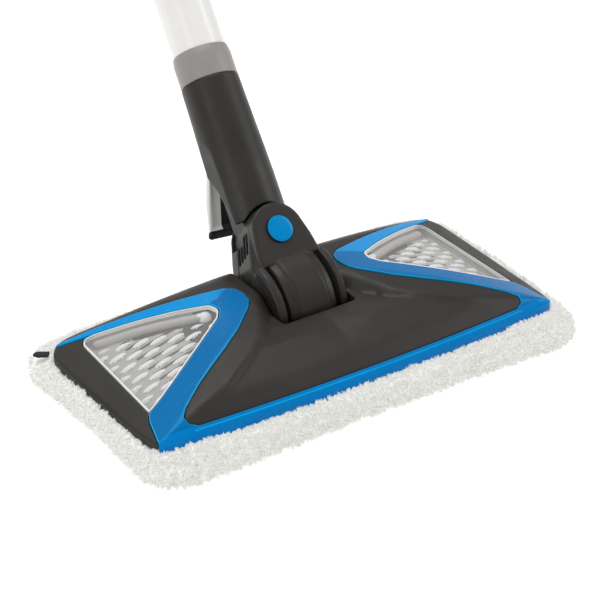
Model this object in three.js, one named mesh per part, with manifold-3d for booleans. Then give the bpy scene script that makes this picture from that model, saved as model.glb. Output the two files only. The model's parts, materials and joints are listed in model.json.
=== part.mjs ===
// Steam mop: pad and floor head, two-axis knuckle, wand, and hand-held steam unit.
// Millimetres, +Z up, front at -Y. The origin is on the floor under the middle of the head.
import * as THREE from "three";
import { mergeVertices } from "three/addons/utils/BufferGeometryUtils.js";
import Module from "manifold-3d";

const wasm = await Module();
wasm.setup();

// ---------- driving dimensions ----------
const GAP = 0.3; // left between pieces that touch

const HEAD_HALF_LENGTH = 149; // plastic head, at its ends
const HEAD_HALF_DEPTH = 64; // plastic head, at its front corners
const FRONT_BOW = 5.5; // the front edge is this much further out in the middle
const RIM_Z = 14.5; // lower edge of the visible head
const COVER_WALL = 3.6;
const TRIM_PROUD = 0.8; // the trim stands above the cover
const TRIM_DEPTH = 1.2; // and is let into it

const PAD_HALF_LENGTH = 161;
const PAD_HALF_DEPTH = 88;
const PAD_CORNER = 28;
const PAD_FLOOR = 5.8; // cloth under the base plate
const PAD_TOP = 16;

const PLATE_BOTTOM = 7.4;
const PLATE_TOP = 12.5;

const PITCH_AXIS = { y: 19.5, z: 30 };
const POCKET_RADIUS = 35.8;
const POCKET_HALF_WIDTH = 27;
const LEAN = THREE.MathUtils.degToRad(43.4); // wand leaning back at rest
const ROLL = THREE.MathUtils.degToRad(4.9); // wand tipped to +X at rest

const KNUCKLE_HALF_WIDTH = 25.5;
const SKIRT_RADIUS = 34.4; // round the pitch axis
const ROLL_HEIGHT = 40; // roll pin above the pitch axis
const DOME_RADIUS = 17.8; // cheeks round the roll pin
const CHEEK_FRONT = 26;
const CHEEK_REAR = 13;
const TONGUE_HALF = 8.5; // the neck's tongue between the cheeks

const NECK_BOTTOM = 12.5; // heights from here on are along the wand, from the roll pin
const NECK_TOP = 108;
const TUBE_RADIUS = 17.2;
const TUBE_WALL = 1.6;
const TUBE_TOP = 640;

const SOCKET = { bottom: 612, seat: 640.4, top: 662 };
const SPIGOT_RADIUS = 13.8;
const UNIT_WALL = 2.4;
const TANK = { bottom: 742, top: 886, back: -8 };
const CAP_ROOM_TOP = 903;
const VALVE_Z = 750;
const TRIGGER_PIVOT = { y: 13.5, z: 1049 };

// ---------- materials ----------
const finish = (color, roughness, metalness = 0, opacity = 1) =>
  new THREE.MeshStandardMaterial({ color, roughness, metalness, opacity, transparent: opacity < 1 });
const charcoal = finish(0x403f3b, 0.5);
const black = finish(0x161616, 0.6);
const blue = finish(0x0078be, 0.25);
const clear = finish(0xdfe3e4, 0.08, 0, 0.35);
const silver = finish(0xbdbcb8, 0.4, 0.3);
const white = finish(0xe8e8e4, 0.2);
const grey = finish(0x9b9894, 0.45);
const rubber = finish(0x242424, 0.85);
const fabric = finish(0xf0f0ee, 1);
const steel = finish(0xb8bcc0, 0.3, 1);
const aluminium = finish(0xc8cacc, 0.4, 1);
const board = finish(0x1f6b45, 0.6);
const silicone = finish(0xe6e2d8, 0.6);

// ---------- solids ----------
// A closed three.js geometry as a solid that can be joined and cut.
function solid(geometry, matrix) {
  const shape = geometry.index ? geometry.toNonIndexed() : geometry.clone();
  shape.deleteAttribute("normal");
  shape.deleteAttribute("uv");
  if (matrix) shape.applyMatrix4(matrix);
  const merged = mergeVertices(shape, 1e-4);
  return new wasm.Manifold(
    new wasm.Mesh({
      numProp: 3,
      vertProperties: new Float32Array(merged.attributes.position.array),
      triVerts: new Uint32Array(merged.index.array),
    }),
  );
}

const join = (first, ...rest) => rest.reduce((sum, next) => sum.add(next), first);
const cut = (first, ...rest) => rest.reduce((left, next) => left.subtract(next), first);

const moved = (x, y, z) => new THREE.Matrix4().makeTranslation(x, y, z);
const turnX = new THREE.Matrix4().makeRotationX(Math.PI / 2);
const turnY = new THREE.Matrix4().makeRotationY(Math.PI / 2);

// A box from its lowest to its highest corner.
function block(low, high) {
  const size = high.map((value, i) => value - low[i]);
  const middle = high.map((value, i) => (value + low[i]) / 2);
  return solid(new THREE.BoxGeometry(...size), moved(...middle));
}

// Round bars along Z, Y and X, between two places on that axis.
function barZ(radius, from, to, x = 0, y = 0, sides = 24) {
  const bar = new THREE.CylinderGeometry(radius, radius, to - from, sides);
  return solid(bar, moved(x, y, (from + to) / 2).multiply(turnX));
}

function barY(radius, from, to, x = 0, z = 0, sides = 24) {
  const bar = new THREE.CylinderGeometry(radius, radius, to - from, sides);
  return solid(bar, moved(x, (from + to) / 2, z));
}

function barX(radius, from, to, y = 0, z = 0, sides = 24) {
  const bar = new THREE.CylinderGeometry(radius, radius, to - from, sides);
  return solid(bar, moved((from + to) / 2, y, z).multiply(turnY).multiply(turnX));
}

// A profile of [radius, height] points turned round Z. It closes on itself or on the axis.
function turned(profile, sides = 40) {
  const points = profile.map(([radius, height]) => new THREE.Vector2(radius, height));
  return solid(new THREE.LatheGeometry(points, sides), turnX);
}

// An outline in XY raised from one height to another.
function prism(shape, from, to, steps = 6) {
  const options = { depth: to - from, bevelEnabled: false, curveSegments: steps };
  return solid(new THREE.ExtrudeGeometry(shape, options), moved(0, 0, from));
}

// An outline drawn in (X, Z), front faces at -Y, pushed from one Y to another.
function plateXZ(shape, from, to, steps = 8) {
  const options = { depth: to - from, bevelEnabled: false, curveSegments: steps };
  return solid(new THREE.ExtrudeGeometry(shape, options), moved(0, to, 0).multiply(turnX));
}

// An outline drawn in (Y, Z), pushed from one X to another.
const axesYZ = new THREE.Matrix4().makeBasis(
  new THREE.Vector3(0, 1, 0),
  new THREE.Vector3(0, 0, 1),
  new THREE.Vector3(1, 0, 0),
);
function plateYZ(shape, from, to, steps = 8) {
  const options = { depth: to - from, bevelEnabled: false, curveSegments: steps };
  return solid(new THREE.ExtrudeGeometry(shape, options), moved(from, 0, 0).multiply(axesYZ));
}

// A round hose or wire along a smooth curve through points.
function hose(points, radius, steps = 16, sides = 10) {
  const path = new THREE.CatmullRomCurve3(points.map((point) => new THREE.Vector3(...point)));
  const section = new THREE.Shape(
    Array.from({ length: sides }, (_, i) => {
      const angle = (2 * Math.PI * i) / sides;
      return new THREE.Vector2(radius * Math.cos(angle), radius * Math.sin(angle));
    }),
  );
  return solid(new THREE.ExtrudeGeometry(section, { steps, bevelEnabled: false, extrudePath: path }));
}

// A skin through rings of points, capped at both ends or closed on itself.
function loft(rings, closed = false) {
  const sides = rings[0].length;
  const positions = rings.flat(2);
  const at = (ring, side) => (ring % rings.length) * sides + (side % sides);
  const index = [];
  const bands = closed ? rings.length : rings.length - 1;
  for (let ring = 0; ring < bands; ring++)
    for (let side = 0; side < sides; side++) {
      index.push(at(ring, side), at(ring, side + 1), at(ring + 1, side + 1));
      index.push(at(ring, side), at(ring + 1, side + 1), at(ring + 1, side));
    }
  if (!closed)
    for (let side = 1; side < sides - 1; side++) {
      index.push(at(0, 0), at(0, side + 1), at(0, side));
      const last = rings.length - 1;
      index.push(at(last, 0), at(last, side), at(last, side + 1));
    }
  const geometry = new THREE.BufferGeometry();
  geometry.setAttribute("position", new THREE.Float32BufferAttribute(positions, 3));
  geometry.setIndex(index);
  return solid(geometry);
}

// Points round an oval that squares up as its power rises above 2.
function oval(halfX, halfY, power, sides) {
  return Array.from({ length: sides }, (_, i) => {
    const angle = (2 * Math.PI * (i + 0.5)) / sides;
    const [c, s] = [Math.cos(angle), Math.sin(angle)];
    const x = halfX * Math.sign(c) * Math.abs(c) ** (2 / power);
    const y = halfY * Math.sign(s) * Math.abs(s) ** (2 / power);
    return [x, y];
  });
}

const polygon = (points) => new THREE.Shape(points.map(([x, y]) => new THREE.Vector2(x, y)));

// A rectangle with round corners, centred on (cx, cy).
function roundedRectangle(halfX, halfY, radius, cx = 0, cy = 0) {
  const shape = new THREE.Shape();
  const corners = [
    [cx + halfX - radius, cy - halfY + radius, -Math.PI / 2],
    [cx + halfX - radius, cy + halfY - radius, 0],
    [cx - halfX + radius, cy + halfY - radius, Math.PI / 2],
    [cx - halfX + radius, cy - halfY + radius, Math.PI],
  ];
  for (const [x, y, start] of corners) shape.absarc(x, y, radius, start, start + Math.PI / 2, false);
  return shape;
}

const mirrored = (points) => points.map(([x, y]) => [-x, y]).reverse();

// ---------- surface of the head ----------
const bow = (x) => FRONT_BOW * (1 - (x / 145) ** 2);
const frontEdge = (x) => -HEAD_HALF_DEPTH - bow(x);

// Distance past a line from (x1, y1) to (x2, y2), positive on its left.
function past(x, y, [x1, y1], [x2, y2]) {
  const length = Math.hypot(x2 - x1, y2 - y1);
  return ((x2 - x1) * (y - y1) - (y2 - y1) * (x - x1)) / length;
}

const WING_TOP = 48.5;
const WING_START = 36;
const DECK_TOP = 40;
const DECK_EDGE = -32;
const DECK_CORNER = [47, -28];
const DECK_END = [85, -50];
const POCKET_SIDE = [26, -2];

// Height of the outer surface of the cover at (x, y).
function coverHeight(x, y) {
  const side = Math.abs(x);
  const along = Math.max(0, side - WING_START);
  const forward = Math.max(0, 1.4 - 0.65 * (side - 40.6) - y);
  const wing = WING_TOP - 0.1 * along - 0.001386 * along ** 2 - 0.17 * forward;
  const front = 24.5 + 0.75 * (y - frontEdge(x) - 3);
  const lip = 20.5 + 1.7 * (y - frontEdge(x) - 0.8);
  const rear = 21 + (HEAD_HALF_DEPTH + 1 - y);
  const end = 14.5 + 1.9 * (HEAD_HALF_LENGTH - side);
  const deck = DECK_TOP - 0.38 * Math.max(0, DECK_EDGE - 0.6 * bow(x) - y);
  const wall = Math.min(
    Math.max(0, past(side, y, DECK_CORNER, DECK_END)),
    Math.max(0, past(side, y, POCKET_SIDE, DECK_CORNER)),
  );
  return Math.max(RIM_Z + 1, Math.min(wing, front, lip, rear, end, deck + 1.1 * wall));
}

const span = (from, to, count) =>
  Array.from({ length: count + 1 }, (_, i) => from + ((to - from) * i) / count);
const GRID_X = [...span(-150, -30, 9), 0, ...span(30, 150, 9)];
const GRID_Y = [-72, -69, -66.5, -64, -60, ...span(-54, 54, 8), 67];

// The space between two heights over the whole head, each a function of (x, y).
function layer(bottom, top) {
  const columns = GRID_X.length;
  const rows = GRID_Y.length;
  const positions = [];
  for (const height of [top, bottom])
    for (const y of GRID_Y) for (const x of GRID_X) positions.push(x, y, height(x, y));
  const upper = (column, row) => row * columns + column;
  const lower = (column, row) => columns * rows + upper(column, row);
  const index = [];
  const quad = (a, b, c, d) => index.push(a, b, c, a, c, d);
  for (let row = 0; row < rows - 1; row++)
    for (let column = 0; column < columns - 1; column++) {
      const ring = [[column, row], [column + 1, row], [column + 1, row + 1], [column, row + 1]];
      quad(...ring.map((place) => upper(...place)));
      const [a, b, c, d] = ring.map((place) => lower(...place));
      index.push(a, c, b, a, d, c);
    }
  const rim = [
    ...span(0, columns - 1, columns - 1).map((column) => [column, 0]),
    ...span(1, rows - 1, rows - 2).map((row) => [columns - 1, row]),
    ...span(columns - 2, 0, columns - 2).map((column) => [column, rows - 1]),
    ...span(rows - 2, 1, rows - 3).map((row) => [0, row]),
  ];
  rim.forEach((here, i) => {
    const next = rim[(i + 1) % rim.length];
    quad(lower(...here), lower(...next), upper(...next), upper(...here));
  });
  const geometry = new THREE.BufferGeometry();
  geometry.setAttribute("position", new THREE.Float32BufferAttribute(positions, 3));
  geometry.setIndex(index);
  return solid(geometry);
}

const below = (drop) => (x, y) => coverHeight(x, y) - drop;
const level = (z) => () => z;

// An outline moved outwards by a distance, or inwards where it is negative.
function grown(points, distance) {
  const count = points.length;
  const area = points.reduce((sum, [x, y], i) => {
    const [nextX, nextY] = points[(i + 1) % count];
    return sum + x * nextY - nextX * y;
  }, 0);
  const away = distance * Math.sign(area);
  return points.map(([x, y], i) => {
    const before = points[(i + count - 1) % count];
    const after = points[(i + 1) % count];
    const first = new THREE.Vector2(x - before[0], y - before[1]).normalize();
    const second = new THREE.Vector2(after[0] - x, after[1] - y).normalize();
    const normal = new THREE.Vector2(first.y + second.y, -first.x - second.x).normalize();
    const reach = away / Math.max(0.4, normal.x * first.y - normal.y * first.x);
    return [x + normal.x * reach, y + normal.y * reach];
  });
}

const bothSides = (right) => [...right, ...mirrored(right).slice(1, -1)];

// The head seen from above.
const HEAD_RIGHT = [
  ...span(0, 139, 8).map((x) => [x, frontEdge(x)]),
  [145.4, -63],
  [148.2, -48],
  [149, -20],
  [148.6, 35],
  ...span(0, Math.PI / 2, 4).map((angle) => [135 + 13 * Math.cos(angle), 52 + 14 * Math.sin(angle)]),
  [0, 66],
];
const HEAD = bothSides(HEAD_RIGHT);

// The right window: its front corner, the side next to the panel, the apex, the back and the outer side.
const WINDOW = [
  [135.2, -35.5], [124.6, -31.4], [112.9, -25.6], [100, -18.6], [86, -10.8], [72.8, -2.8], [61, 4.6],
  [56.2, 11.4], [57.8, 19.2], [76, 29.6], [100, 41.6], [122, 52], [127.5, 53.2], [130.6, 49.6],
];

// The trim: a strip along the front edge and a V round each window.
const TRIM_RIGHT = [
  ...span(0, 139, 8).map((x) => [x, frontEdge(x)]),
  [145.4, -63],
  [139.2, -42],
  ...grown(WINDOW, 0.7).slice(0, 12),
  [129.6, 56.2],
  [142.4, 63.2],
  [140.6, 64.2],
  [100, 49],
  [42.4, 27.6],
  [37.4, 23.4],
  [35.2, 16],
  [36.4, 7.6],
  [40.6, 1.4], [57.3, -12.8], [73.7, -23.3], [88.7, -31.6], [103.2, -39.9], [119, -50.4],
  [124.2, -56],
  [123.4, -60.6],
  ...span(118, 0, 7).map((x) => [x, frontEdge(x) + 3]),
];
const TRIM = bothSides(TRIM_RIGHT);
const LIP_DEPTH = 1.8;
const LIP = bothSides([
  ...span(0, 139, 8).map((x) => [x, frontEdge(x)]),
  [145.4, -63],
  [144.6, -60.6],
  ...span(136, 0, 8).map((x) => [x, frontEdge(x) + LIP_DEPTH]),
]);

const overHead = (outline, bottom, top) => layer(bottom, top).intersect(prism(polygon(outline), 0, 90));
const column = (outline) => prism(polygon(outline), 0, 90);

// ---------- node list ----------
const mop = new THREE.Group();
mop.name = "steam_mop";
const knuckle = new THREE.Group();
knuckle.position.set(0, PITCH_AXIS.y, PITCH_AXIS.z);
knuckle.rotation.x = -LEAN;
mop.add(knuckle);
const wand = new THREE.Group();
wand.position.z = ROLL_HEIGHT;
wand.rotation.y = ROLL;
knuckle.add(wand);

function piece(group, name, shape, material) {
  const made = shape.getMesh();
  const geometry = new THREE.BufferGeometry();
  const corners = new Float32Array(made.numVert * 3);
  for (let i = 0; i < made.numVert; i++)
    corners.set(made.vertProperties.subarray(i * made.numProp, i * made.numProp + 3), i * 3);
  geometry.setAttribute("position", new THREE.BufferAttribute(corners, 3));
  geometry.setIndex(new THREE.BufferAttribute(new Uint32Array(made.triVerts), 1));
  geometry.computeVertexNormals();
  const mesh = new THREE.Mesh(geometry, material);
  mesh.name = name;
  group.add(mesh);
}

// ---------- head ----------
const SCREW_PLACES = [[-112, 30], [112, 30], [-112, -40], [112, -40]];
const BOSS_RADIUS = 4.5;
const AXLE_RADIUS = 4;

// Cloth tray that wraps up round the base plate.
function padShape() {
  const outline = (inset) =>
    roundedRectangle(PAD_HALF_LENGTH - inset, PAD_HALF_DEPTH - inset, PAD_CORNER - inset);
  const bottomRound = prism(outline(3), 0, 3, 5);
  const middle = prism(outline(0), 2.9, 12, 5);
  const topRound = prism(outline(4), 11.9, PAD_TOP, 5);
  const well = prism(polygon(grown(HEAD, 1.5)), PAD_FLOOR, PAD_TOP + 1);
  return cut(join(bottomRound, middle, topRound), well);
}

// Moulded lower plate: a recess for the knuckle, holes for steam, posts for the axle and screw bosses.
function basePlateShape() {
  let plate = prism(polygon(grown(HEAD, -4)), PLATE_BOTTOM, PLATE_TOP);
  plate = cut(plate, block([-27.5, -19, 8.9], [27.5, 58, 20]));
  for (const side of [-1, 1]) {
    const low = side < 0 ? -36 : 29.4;
    plate = plate.add(block([low, 11, PLATE_TOP - 1], [low + 6.6, 28, 36]));
    for (const x of [50, 80, 110]) plate = cut(plate, barZ(2, 0, 20, side * x, 0, 12));
  }
  for (const [x, y] of SCREW_PLACES)
    plate = cut(
      plate.add(barZ(BOSS_RADIUS, PLATE_TOP - 1, 17, x, y, 16)),
      barZ(1.5 + GAP, 0, 20, x, y, 12),
      barZ(3.2 + GAP, 0, PLATE_BOTTOM + 2, x, y, 12),
    );
  return cut(plate, barX(AXLE_RADIUS + GAP, -40, 40, PITCH_AXIS.y, PITCH_AXIS.z));
}

// The knuckle's pocket: round about the pitch axis in front, open to the rear.
function pocketShape() {
  const round = barX(POCKET_RADIUS, -POCKET_HALF_WIDTH, POCKET_HALF_WIDTH, PITCH_AXIS.y, PITCH_AXIS.z, 48);
  const { y } = PITCH_AXIS;
  const rear = block([-POCKET_HALF_WIDTH, y, 15.5], [POCKET_HALF_WIDTH, 80, 90]);
  return join(round, rear);
}

function topCoverShape() {
  const skin = cut(
    overHead(HEAD, level(RIM_Z), below(0)),
    overHead(grown(HEAD, -4.6), level(0), below(COVER_WALL)),
  );
  const tub = overHead(
    [[-28.8, -20], [28.8, -20], [28.8, 62], [-28.8, 62]],
    level(RIM_Z),
    below(1),
  );
  const axleHole = barX(AXLE_RADIUS + GAP, -40, 40, PITCH_AXIS.y, PITCH_AXIS.z);
  let cover = cut(skin.add(tub), pocketShape(), axleHole);
  cover = cut(cover, overHead(grown(TRIM, GAP), below(TRIM_DEPTH + GAP), level(80)));
  cover = cut(cover, column(grown(LIP, GAP)));
  for (const outline of [WINDOW, mirrored(WINDOW)]) cover = cut(cover, column(grown(outline, GAP)));
  return cover;
}

function trimShape() {
  const strips = overHead(TRIM, below(TRIM_DEPTH), below(-TRIM_PROUD));
  const lip = overHead(LIP, level(RIM_Z), below(-TRIM_PROUD));
  return strips.add(lip);
}

const LENS_DROP = 0.5;
const LENS_THICKNESS = 1.8;
const windowShape = (outline) => overHead(outline, below(LENS_DROP + LENS_THICKNESS), below(LENS_DROP));

// Steam plate under a window, with the round steam rail along its back edge.
const DIFFUSER_DROP = 6.4;
const DIFFUSER_THICKNESS = 1.2;
const RAIL_ENDS = [[63, 15], [95, 32], [122, 45.6]];
function diffuserShape(outline, side) {
  const underside = below(DIFFUSER_DROP + DIFFUSER_THICKNESS);
  const plate = overHead(grown(outline, 1.6), underside, below(DIFFUSER_DROP));
  const rail = RAIL_ENDS.map(([x, y]) => [side * x, y, coverHeight(x, y) - DIFFUSER_DROP - 0.2]);
  return plate.add(hose(rail, 3.1, 6, 10));
}

// Channel that spreads the steam along the plate.
function steamChannelShape() {
  const runs = [-1, 1].map((side) => {
    const ends = [side * 38, side * 116];
    return block([Math.min(...ends), -6, PLATE_TOP + GAP], [Math.max(...ends), 6, PLATE_TOP + 5]);
  });
  const bridge = block([-39, -27, PLATE_TOP + GAP], [39, -21, PLATE_TOP + 5]);
  const links = [-38, 38].map((x) => block([x - 3, -27, PLATE_TOP + GAP], [x + 3, 6, PLATE_TOP + 5]));
  return join(bridge, ...links, ...runs);
}

function buildHead() {
  piece(mop, "pad", padShape(), fabric);
  const tab = polygon([[-144.4, 66.8], [-147.6, 63.4], [-153.4, 66.6], [-155, 70], [-151.6, 71.4]]);
  piece(mop, "pad_pull_tab", prism(tab, PAD_TOP + 0.4, PAD_TOP + 2.2), rubber);
  for (const [name, y] of [["hook_strip_front", -38], ["hook_strip_rear", 38]])
    piece(mop, name, block([-120, y - 10, PAD_FLOOR + GAP], [120, y + 10, PLATE_BOTTOM - GAP]), black);
  piece(mop, "base_plate", basePlateShape(), black);
  piece(mop, "steam_channel", steamChannelShape(), silver);
  piece(mop, "top_cover", topCoverShape(), charcoal);
  piece(mop, "trim_frame", trimShape(), blue);
  for (const [word, side] of [["left", -1], ["right", 1]]) {
    const outline = side < 0 ? mirrored(WINDOW) : WINDOW;
    piece(mop, `window_${word}`, windowShape(outline), clear);
    piece(mop, `diffuser_${word}`, diffuserShape(outline, side), silver);
  }
  SCREW_PLACES.forEach(([x, y], i) => {
    const screw = join(
      barZ(3.2, PLATE_BOTTOM, PLATE_BOTTOM + 1.7, x, y, 12),
      barZ(1.5, PLATE_BOTTOM + 1, 16, x, y, 12),
    );
    piece(mop, `head_screw_${i + 1}`, screw, steel);
  });
  piece(mop, "pitch_axle", barX(AXLE_RADIUS, -36, 36, PITCH_AXIS.y, PITCH_AXIS.z), steel);
}

// ---------- knuckle, with its origin on the pitch axis and the roll pin above it ----------
const PIN_RADIUS = 4;
const FLANK_TOP = { x: 17.2, z: 4.6 };
const REAR_CHAMFER = [[25.8, 3.4], [25.8, 20], [13, 20], [16.6, 13], [22.4, 9.6]];
const SKIRT_FROM = THREE.MathUtils.degToRad(-33);
const SKIRT_TO = THREE.MathUtils.degToRad(41);

// Front view of the cheeks: a dome round the roll pin whose flanks spread to the full width.
function cheekOutline() {
  const half = KNUCKLE_HALF_WIDTH;
  const shape = new THREE.Shape();
  shape.moveTo(-half, 2);
  shape.lineTo(half, 2);
  shape.lineTo(half, ROLL_HEIGHT - 22);
  const start = Math.atan2(FLANK_TOP.z, FLANK_TOP.x);
  shape.absarc(0, ROLL_HEIGHT, DOME_RADIUS, start, Math.PI - start, false);
  shape.lineTo(-half, ROLL_HEIGHT - 22);
  return shape;
}

// The round skirt in front of the pitch axis, in the (Y, Z) plane.
function skirtOutline() {
  const shape = new THREE.Shape();
  shape.moveTo(6, 0);
  const steps = span(SKIRT_TO, SKIRT_FROM, 12);
  for (const angle of steps) shape.lineTo(-SKIRT_RADIUS * Math.cos(angle), SKIRT_RADIUS * Math.sin(angle));
  return shape;
}

function knuckleBody() {
  const half = KNUCKLE_HALF_WIDTH;
  const cheeks = plateXZ(cheekOutline(), -CHEEK_FRONT, CHEEK_REAR, 16);
  const skirt = plateYZ(skirtOutline(), -half, half);
  const hub = barX(15.5, -half, half, 0, 0, 28);
  const corner = prism(polygon(REAR_CHAMFER), 12, 80);
  let body = join(cut(cheeks, corner, corner.mirror([1, 0, 0])), skirt, hub);
  const slot = join(
    barY(TONGUE_HALF * 2 + 3, -TONGUE_HALF - GAP, TONGUE_HALF + GAP, 0, ROLL_HEIGHT, 28),
    block([-30, -TONGUE_HALF - GAP, ROLL_HEIGHT], [30, TONGUE_HALF + GAP, 90]),
  );
  body = cut(body, slot);
  body = cut(body, barY(PIN_RADIUS + GAP, -40, 40, 0, ROLL_HEIGHT));
  body = cut(body, barX(AXLE_RADIUS + GAP, -40, 40));
  const groove = cut(
    barX(SKIRT_RADIUS + 2, 14, 17.4, 0, 0, 40),
    barX(SKIRT_RADIUS - 6.5, 13, 19, 0, 0, 40),
    block([13, -10, -60], [19, 60, 60]),
    block([13, -60, 14], [19, 60, 80]),
  );
  body = cut(body, groove, groove.mirror([1, 0, 0]));
  for (const side of [-1, 1])
    for (const y of [-20, -16.5, -13]) {
      const x = side < 0 ? -30 : 18.6;
      body = cut(body, block([x, y, ROLL_HEIGHT - 24], [x + 11.4, y + 1.8, ROLL_HEIGHT + 2]));
    }
  return body;
}

function buildKnuckle() {
  const body = knuckleBody();
  const far = 80;
  const frontHalf = block([-far, -far, -far], [far, -GAP / 2, far]);
  const rearHalf = block([-far, GAP / 2, -far], [far, far, far]);
  const hoseRoom = barZ(4.4, 4, ROLL_HEIGHT - 10, 0, 0, 16);
  piece(knuckle, "knuckle_front", cut(body.intersect(frontHalf), hoseRoom), charcoal);
  piece(knuckle, "knuckle_rear", cut(body.intersect(rearHalf), hoseRoom), charcoal);
  piece(knuckle, "joint_hose", barZ(3.8, 4.6, ROLL_HEIGHT - 20, 0, 0, 12), silicone);
  piece(knuckle, "roll_pin", barY(PIN_RADIUS, -CHEEK_FRONT + 0.5, CHEEK_REAR - 0.5, 0, ROLL_HEIGHT), steel);
  const frontCap = barY(8.7, -CHEEK_FRONT - 2, -CHEEK_FRONT - GAP, 0, ROLL_HEIGHT, 32);
  piece(knuckle, "pin_cap_front", frontCap, blue);
  const rearCap = barY(8, CHEEK_REAR + GAP, CHEEK_REAR + 2.4, 0, ROLL_HEIGHT, 24);
  piece(knuckle, "pin_cap_rear", rearCap, charcoal);
}

// ---------- lower wand, with its origin on the roll pin ----------
const PEDAL_HINGE = { y: 11, z: 59 };
const LUG = { radius: 3, half: 9 };
const NECK_PROFILE = [
  [0, NECK_BOTTOM],
  [20.6, NECK_BOTTOM],
  [20.6, 40],
  [20.1, 62],
  [19.4, 85],
  [18.9, NECK_TOP],
  [0, NECK_TOP],
];

// Side view of what is cut away behind the neck, where the pedal nests.
const NECK_BACK = [[-6.5, 0], [-6.5, 14], [1, 37], [14, 57], [24, 60.8], [40, 60.8], [40, 0]];

// Tube that ends in a tongue between the knuckle's cheeks, with a stepped bore down its middle.
function neckShape() {
  const outside = turned(NECK_PROFILE, 36);
  const domeRoom = barY(DOME_RADIUS + 1.6, -40, 40, 0, 0, 40);
  const tongue = join(
    barY(18, -TONGUE_HALF, TONGUE_HALF, 0, 0, 36),
    block([-13.5, -TONGUE_HALF, 0], [13.5, TONGUE_HALF, 45]),
  );
  const back = plateYZ(polygon(NECK_BACK), -30, 30);
  const { y, z } = PEDAL_HINGE;
  const lugRoom = LUG.radius + 0.4;
  return cut(
    join(cut(outside, domeRoom, back), tongue),
    barY(PIN_RADIUS + GAP, -40, 40),
    barZ(15, 64, 120, 0, 0, 32),
    barX(lugRoom, -LUG.half - 0.4, LUG.half + 0.4, y, z, 24),
    block([-LUG.half - 0.4, y - 2, z - 9], [LUG.half + 0.4, y + 14, z + lugRoom]),
    barZ(4.2, 24, 70, 0, 0, 16),
    barX(1.5 + GAP, -20, 20, y, z, 12),
  );
}

// Pedal behind the neck: a hollow wedge, narrower at the top, on a lug that reaches into the neck.
const PEDAL_SIDE = [
  [14.9, 56.2],
  [20.6, 58.4],
  [22, 57],
  [39.6, 23.4],
  [43.6, 19],
  [42, 16.8],
  [37, 20.4],
  [18, 50],
];
const PEDAL_HOLLOW = [[16, 46], [19.4, 51.4], [37.4, 24], [34, 14]];
const PEDAL_FRONT = [[-14.3, 10], [14.3, 10], [14.3, 38], [11.4, 60], [-11.4, 60], [-14.3, 38]];
const LUG_ARM = [[11, 56.2], [13.6, 53.4], [18, 51.6], [21, 57.4], [19.6, 59.6], [12, 62]];
function pedalShape() {
  const { y, z } = PEDAL_HINGE;
  const wedge = plateYZ(polygon(PEDAL_SIDE), -15, 15).intersect(plateXZ(polygon(PEDAL_FRONT), 0, 60));
  const hollow = plateYZ(polygon(PEDAL_HOLLOW), -12, 12);
  const arm = plateYZ(polygon(LUG_ARM), -LUG.half, LUG.half);
  const lug = barX(LUG.radius, -LUG.half, LUG.half, y, z, 20);
  return cut(join(cut(wedge, hollow), arm, lug), barX(1.5 + GAP, -20, 20, y, z, 12));
}

// A ring or tube with a straight bore, its outside given by [radius, height] points.
function sleeve(bore, outside, sides) {
  const first = outside[0][1];
  const last = outside.at(-1)[1];
  return turned([[bore, first], ...outside, [bore, last], [bore, first]], sides);
}

const TUBE_BOTTOM = NECK_TOP + GAP;

function buildLowerWand() {
  piece(wand, "neck_shell", neckShape(), charcoal);
  const collar = sleeve(TUBE_RADIUS + 0.4, [[18.8, TUBE_BOTTOM], [18.8, 124], [17.9, 128.5]], 48);
  piece(wand, "wand_collar", collar, grey);
  const tube = sleeve(TUBE_RADIUS - TUBE_WALL, [[TUBE_RADIUS, TUBE_BOTTOM], [TUBE_RADIUS, TUBE_TOP]], 48);
  piece(wand, "wand_tube", tube, white);
  piece(wand, "steam_pipe", barZ(3.4, 26, SOCKET.top - 2, 0, 0, 12), silicone);
  piece(wand, "release_pedal", pedalShape(), silver);
  piece(wand, "pedal_pin", barX(1.5, -14.8, 14.8, PEDAL_HINGE.y, PEDAL_HINGE.z, 12), steel);
}

// ---------- hand-held steam unit, along the wand above the tube ----------
// Sections of the body: height, middle in Y, half width, half depth, squareness.
const BODY_SECTIONS = [
  [662.4, 0, 21.5, 21.5, 2],
  [684, 0, 22.5, 23, 2.2],
  [716, -6, 25, 31, 2.8],
  [742, -10, 26, 36, 3.2],
  [888, -10, 26, 36, 3.2],
  [914, -8, 24.5, 32, 3],
  [938, -5, 20, 25, 2.6],
  [956, -4, 16, 19, 2.3],
];
const BODY_SIDES = 18;

// Middle line of the handle loop: Y, height, half depth, half width.
const LOOP_SECTIONS = [
  [-4, 951, 13, 16],
  [19, 968, 13.5, 16],
  [27, 1012, 13.5, 15.5],
  [17, 1060, 13, 15],
  [-6, 1082, 12, 14.5],
  [-30, 1066, 9, 13],
  [-40, 1018, 7.5, 12],
  [-30, 970, 9, 14],
];
const LOOP_STEPS = 20;
const LOOP_SIDES = 10;

function bodySolid(inset) {
  const rings = BODY_SECTIONS.map(([z, middle, halfX, halfY, power], i) => {
    const end = inset > 0 && i === 0 ? 12 : 0;
    return oval(halfX - inset, halfY - inset, power, BODY_SIDES).map(([x, y]) => [x, y + middle, z + end]);
  });
  return loft(rings);
}

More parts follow.
